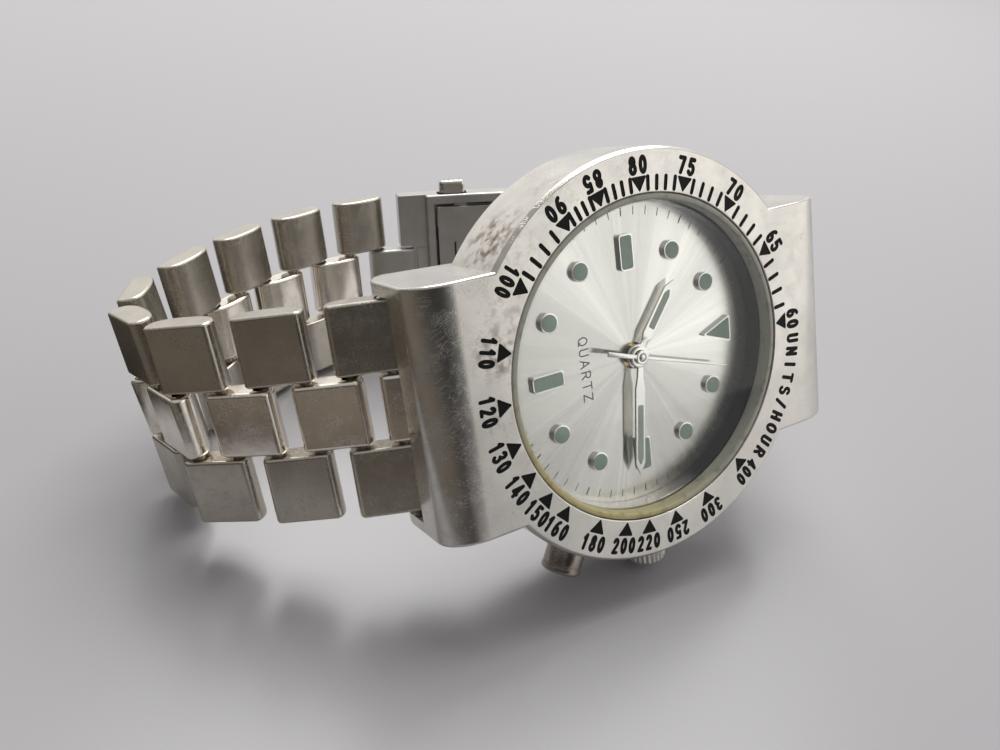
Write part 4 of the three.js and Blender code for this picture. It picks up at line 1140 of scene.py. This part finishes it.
def table_look():
    """A pale satin table. Reflections, and nothing else, see a painted dark shade on it at the front left.
    """
    look = Look("pale_table")
    haze = look.noise(0.006, 3.0)
    rough = look.band(haze, 0.2, 0.8, 0.29, 0.31)
    inputs = {"Base Color": look.blend(haze, TABLE_DIM, TABLE_BRIGHT), "Roughness": rough, "IOR": 1.5}
    bare = look.node("ShaderNodeBsdfPrincipled", inputs).outputs[0]
    # painted shade on the table's front left, which only reflections see
    reflected_shade = look.node("ShaderNodeBsdfDiffuse", {"Color": cloth_colour(look)}).outputs[0]
    flat = look.vector("MULTIPLY", look.place, (1, 1, 0))
    middle, half = (REFLECTED_SHADE_FROM + REFLECTED_SHADE_TO) / 2, (REFLECTED_SHADE_TO - REFLECTED_SHADE_FROM) / 2
    way = (math.sin(middle), -math.cos(middle), 0)
    turn = look.measure("DOT_PRODUCT", look.vector("NORMALIZE", flat), way)
    edge = math.cos(half)
    in_reflected_shade = look.sum("MULTIPLY", look.band(turn, edge - 0.04, edge + 0.04),
                       look.band(look.measure("LENGTH", flat), REFLECTED_SHADE_NEAR - 3, REFLECTED_SHADE_NEAR + 3))
    mirrored = look.node("ShaderNodeLightPath").outputs["Is Glossy Ray"]
    share = look.sum("MULTIPLY", in_reflected_shade, mirrored)
    look.output(look.node("ShaderNodeMixShader", {0: share, 1: bare, 2: reflected_shade}).outputs[0])
    return look.material


TABLE_HALF = 1.5


def build_table():
    mesh = bpy.data.meshes.new("table")
    corners = [(x * TABLE_HALF, y * TABLE_HALF, 0) for x, y in ((-1, -1), (1, -1), (1, 1), (-1, 1))]
    mesh.from_pydata(corners, [], [(0, 1, 2, 3)])
    painted(mesh, table_look())
    table = new_object("table", mesh)
    table.location = (0, 0, cad_low.z)


SOFTBOX_AT, SOFTBOX_AIM = Vector((0.2, 0.28, 0.55)), Vector((0, 0.03, 0))
SOFTBOX_SIZE = 0.5
SOFTBOX_POWER = 3.8


def build_softbox():
    data = bpy.data.lights.new("softbox", "AREA")
    data.shape = "RECTANGLE"
    data.size = data.size_y = SOFTBOX_SIZE
    data.energy = SOFTBOX_POWER
    data.color = (1.0, 0.99, 0.98)
    light = new_object("softbox", data)
    light.location = SOFTBOX_AT
    light.rotation_euler = (SOFTBOX_AIM - SOFTBOX_AT).to_track_quat("-Z", "Y").to_euler()


def build_room():
    """A soft room: bright above, at the right front and behind, and dim where the viewer stands. The camera
    itself sees a plain backdrop."""
    world = bpy.data.worlds.new("room")
    world.use_nodes = True
    bpy.context.scene.world = world
    tree = world.node_tree
    tree.nodes.clear()

    way = add_node(tree, "ShaderNodeTexCoord").outputs["Generated"]

    def mix(share, a, b):
        return add_node(tree, "ShaderNodeMix", {"Factor": share, 2: a, 3: b}, data_type="FLOAT").outputs[0]

    level = FLOOR_LEVEL
    for direction, near, far, value in ROOM:
        inputs = {0: way, 1: Vector(direction).normalized()}
        dot = add_node(tree, "ShaderNodeVectorMath", inputs, operation="DOT_PRODUCT").outputs["Value"]
        inputs = {"Value": dot, "From Min": far, "From Max": near}
        share = add_node(tree, "ShaderNodeMapRange", inputs, interpolation_type="SMOOTHSTEP").outputs[0]
        level = mix(share, level, value)
    seen = add_node(tree, "ShaderNodeLightPath").outputs["Is Camera Ray"]
    level = mix(seen, level, BACKDROP_LEVEL)
    shade = add_node(tree, "ShaderNodeBackground", {"Color": ROOM_TINT, "Strength": level})
    add_node(tree, "ShaderNodeOutputWorld", {"Surface": shade.outputs[0]})
    bpy.context.scene.view_settings.view_transform = "Standard"


ROOM_TINT = rgb(1.0, 0.985, 0.96)
FLOOR_LEVEL, BACKDROP_LEVEL = 0.1, 0.6
# The room's patches: direction, cosine where the patch is full, cosine where it has faded, brightness.
ROOM = (
    ((0, 0, 1), 0.95, 0.05, 0.45),
    ((0.84, -0.48, 0.24), 0.90, 0.71, 1.2),
    ((0.35, 0.9, 0.3), 0.92, 0.35, 1.0),
    ((-0.25, -0.96, 0.1), 0.97, 0.89, 0.03),
    ((-0.82, -0.57, -0.08), 0.93, 0.77, 0.06),
)

# The camera's place and turn in the head's frame.
CAMERA_AT = (-51.13, -65.57, 24.38)
CAMERA_RIGHT = (0.8557, -0.5014, -0.1282)
CAMERA_UP = (0.2481, 0.1801, 0.9519)
CAMERA_LENS = 33.96


def build_camera():
    data = bpy.data.cameras.new("camera")
    data.lens = CAMERA_LENS
    data.sensor_width = 36
    data.clip_start = 0.005
    camera = new_object("camera", data)
    right, up = Vector(CAMERA_RIGHT).normalized(), Vector(CAMERA_UP).normalized()
    turn = Matrix((right, up, right.cross(up))).transposed().to_4x4()
    camera.matrix_world = HEAD @ Matrix.Translation(Vector(CAMERA_AT) * MM) @ turn
    bpy.context.scene.camera = camera


# ---- the watch ----
repaint_nodes()
build_case()
build_dial()
build_hands()
build_controls()
build_links()
build_clasp()
build_table()
build_room()
build_softbox()
build_camera()
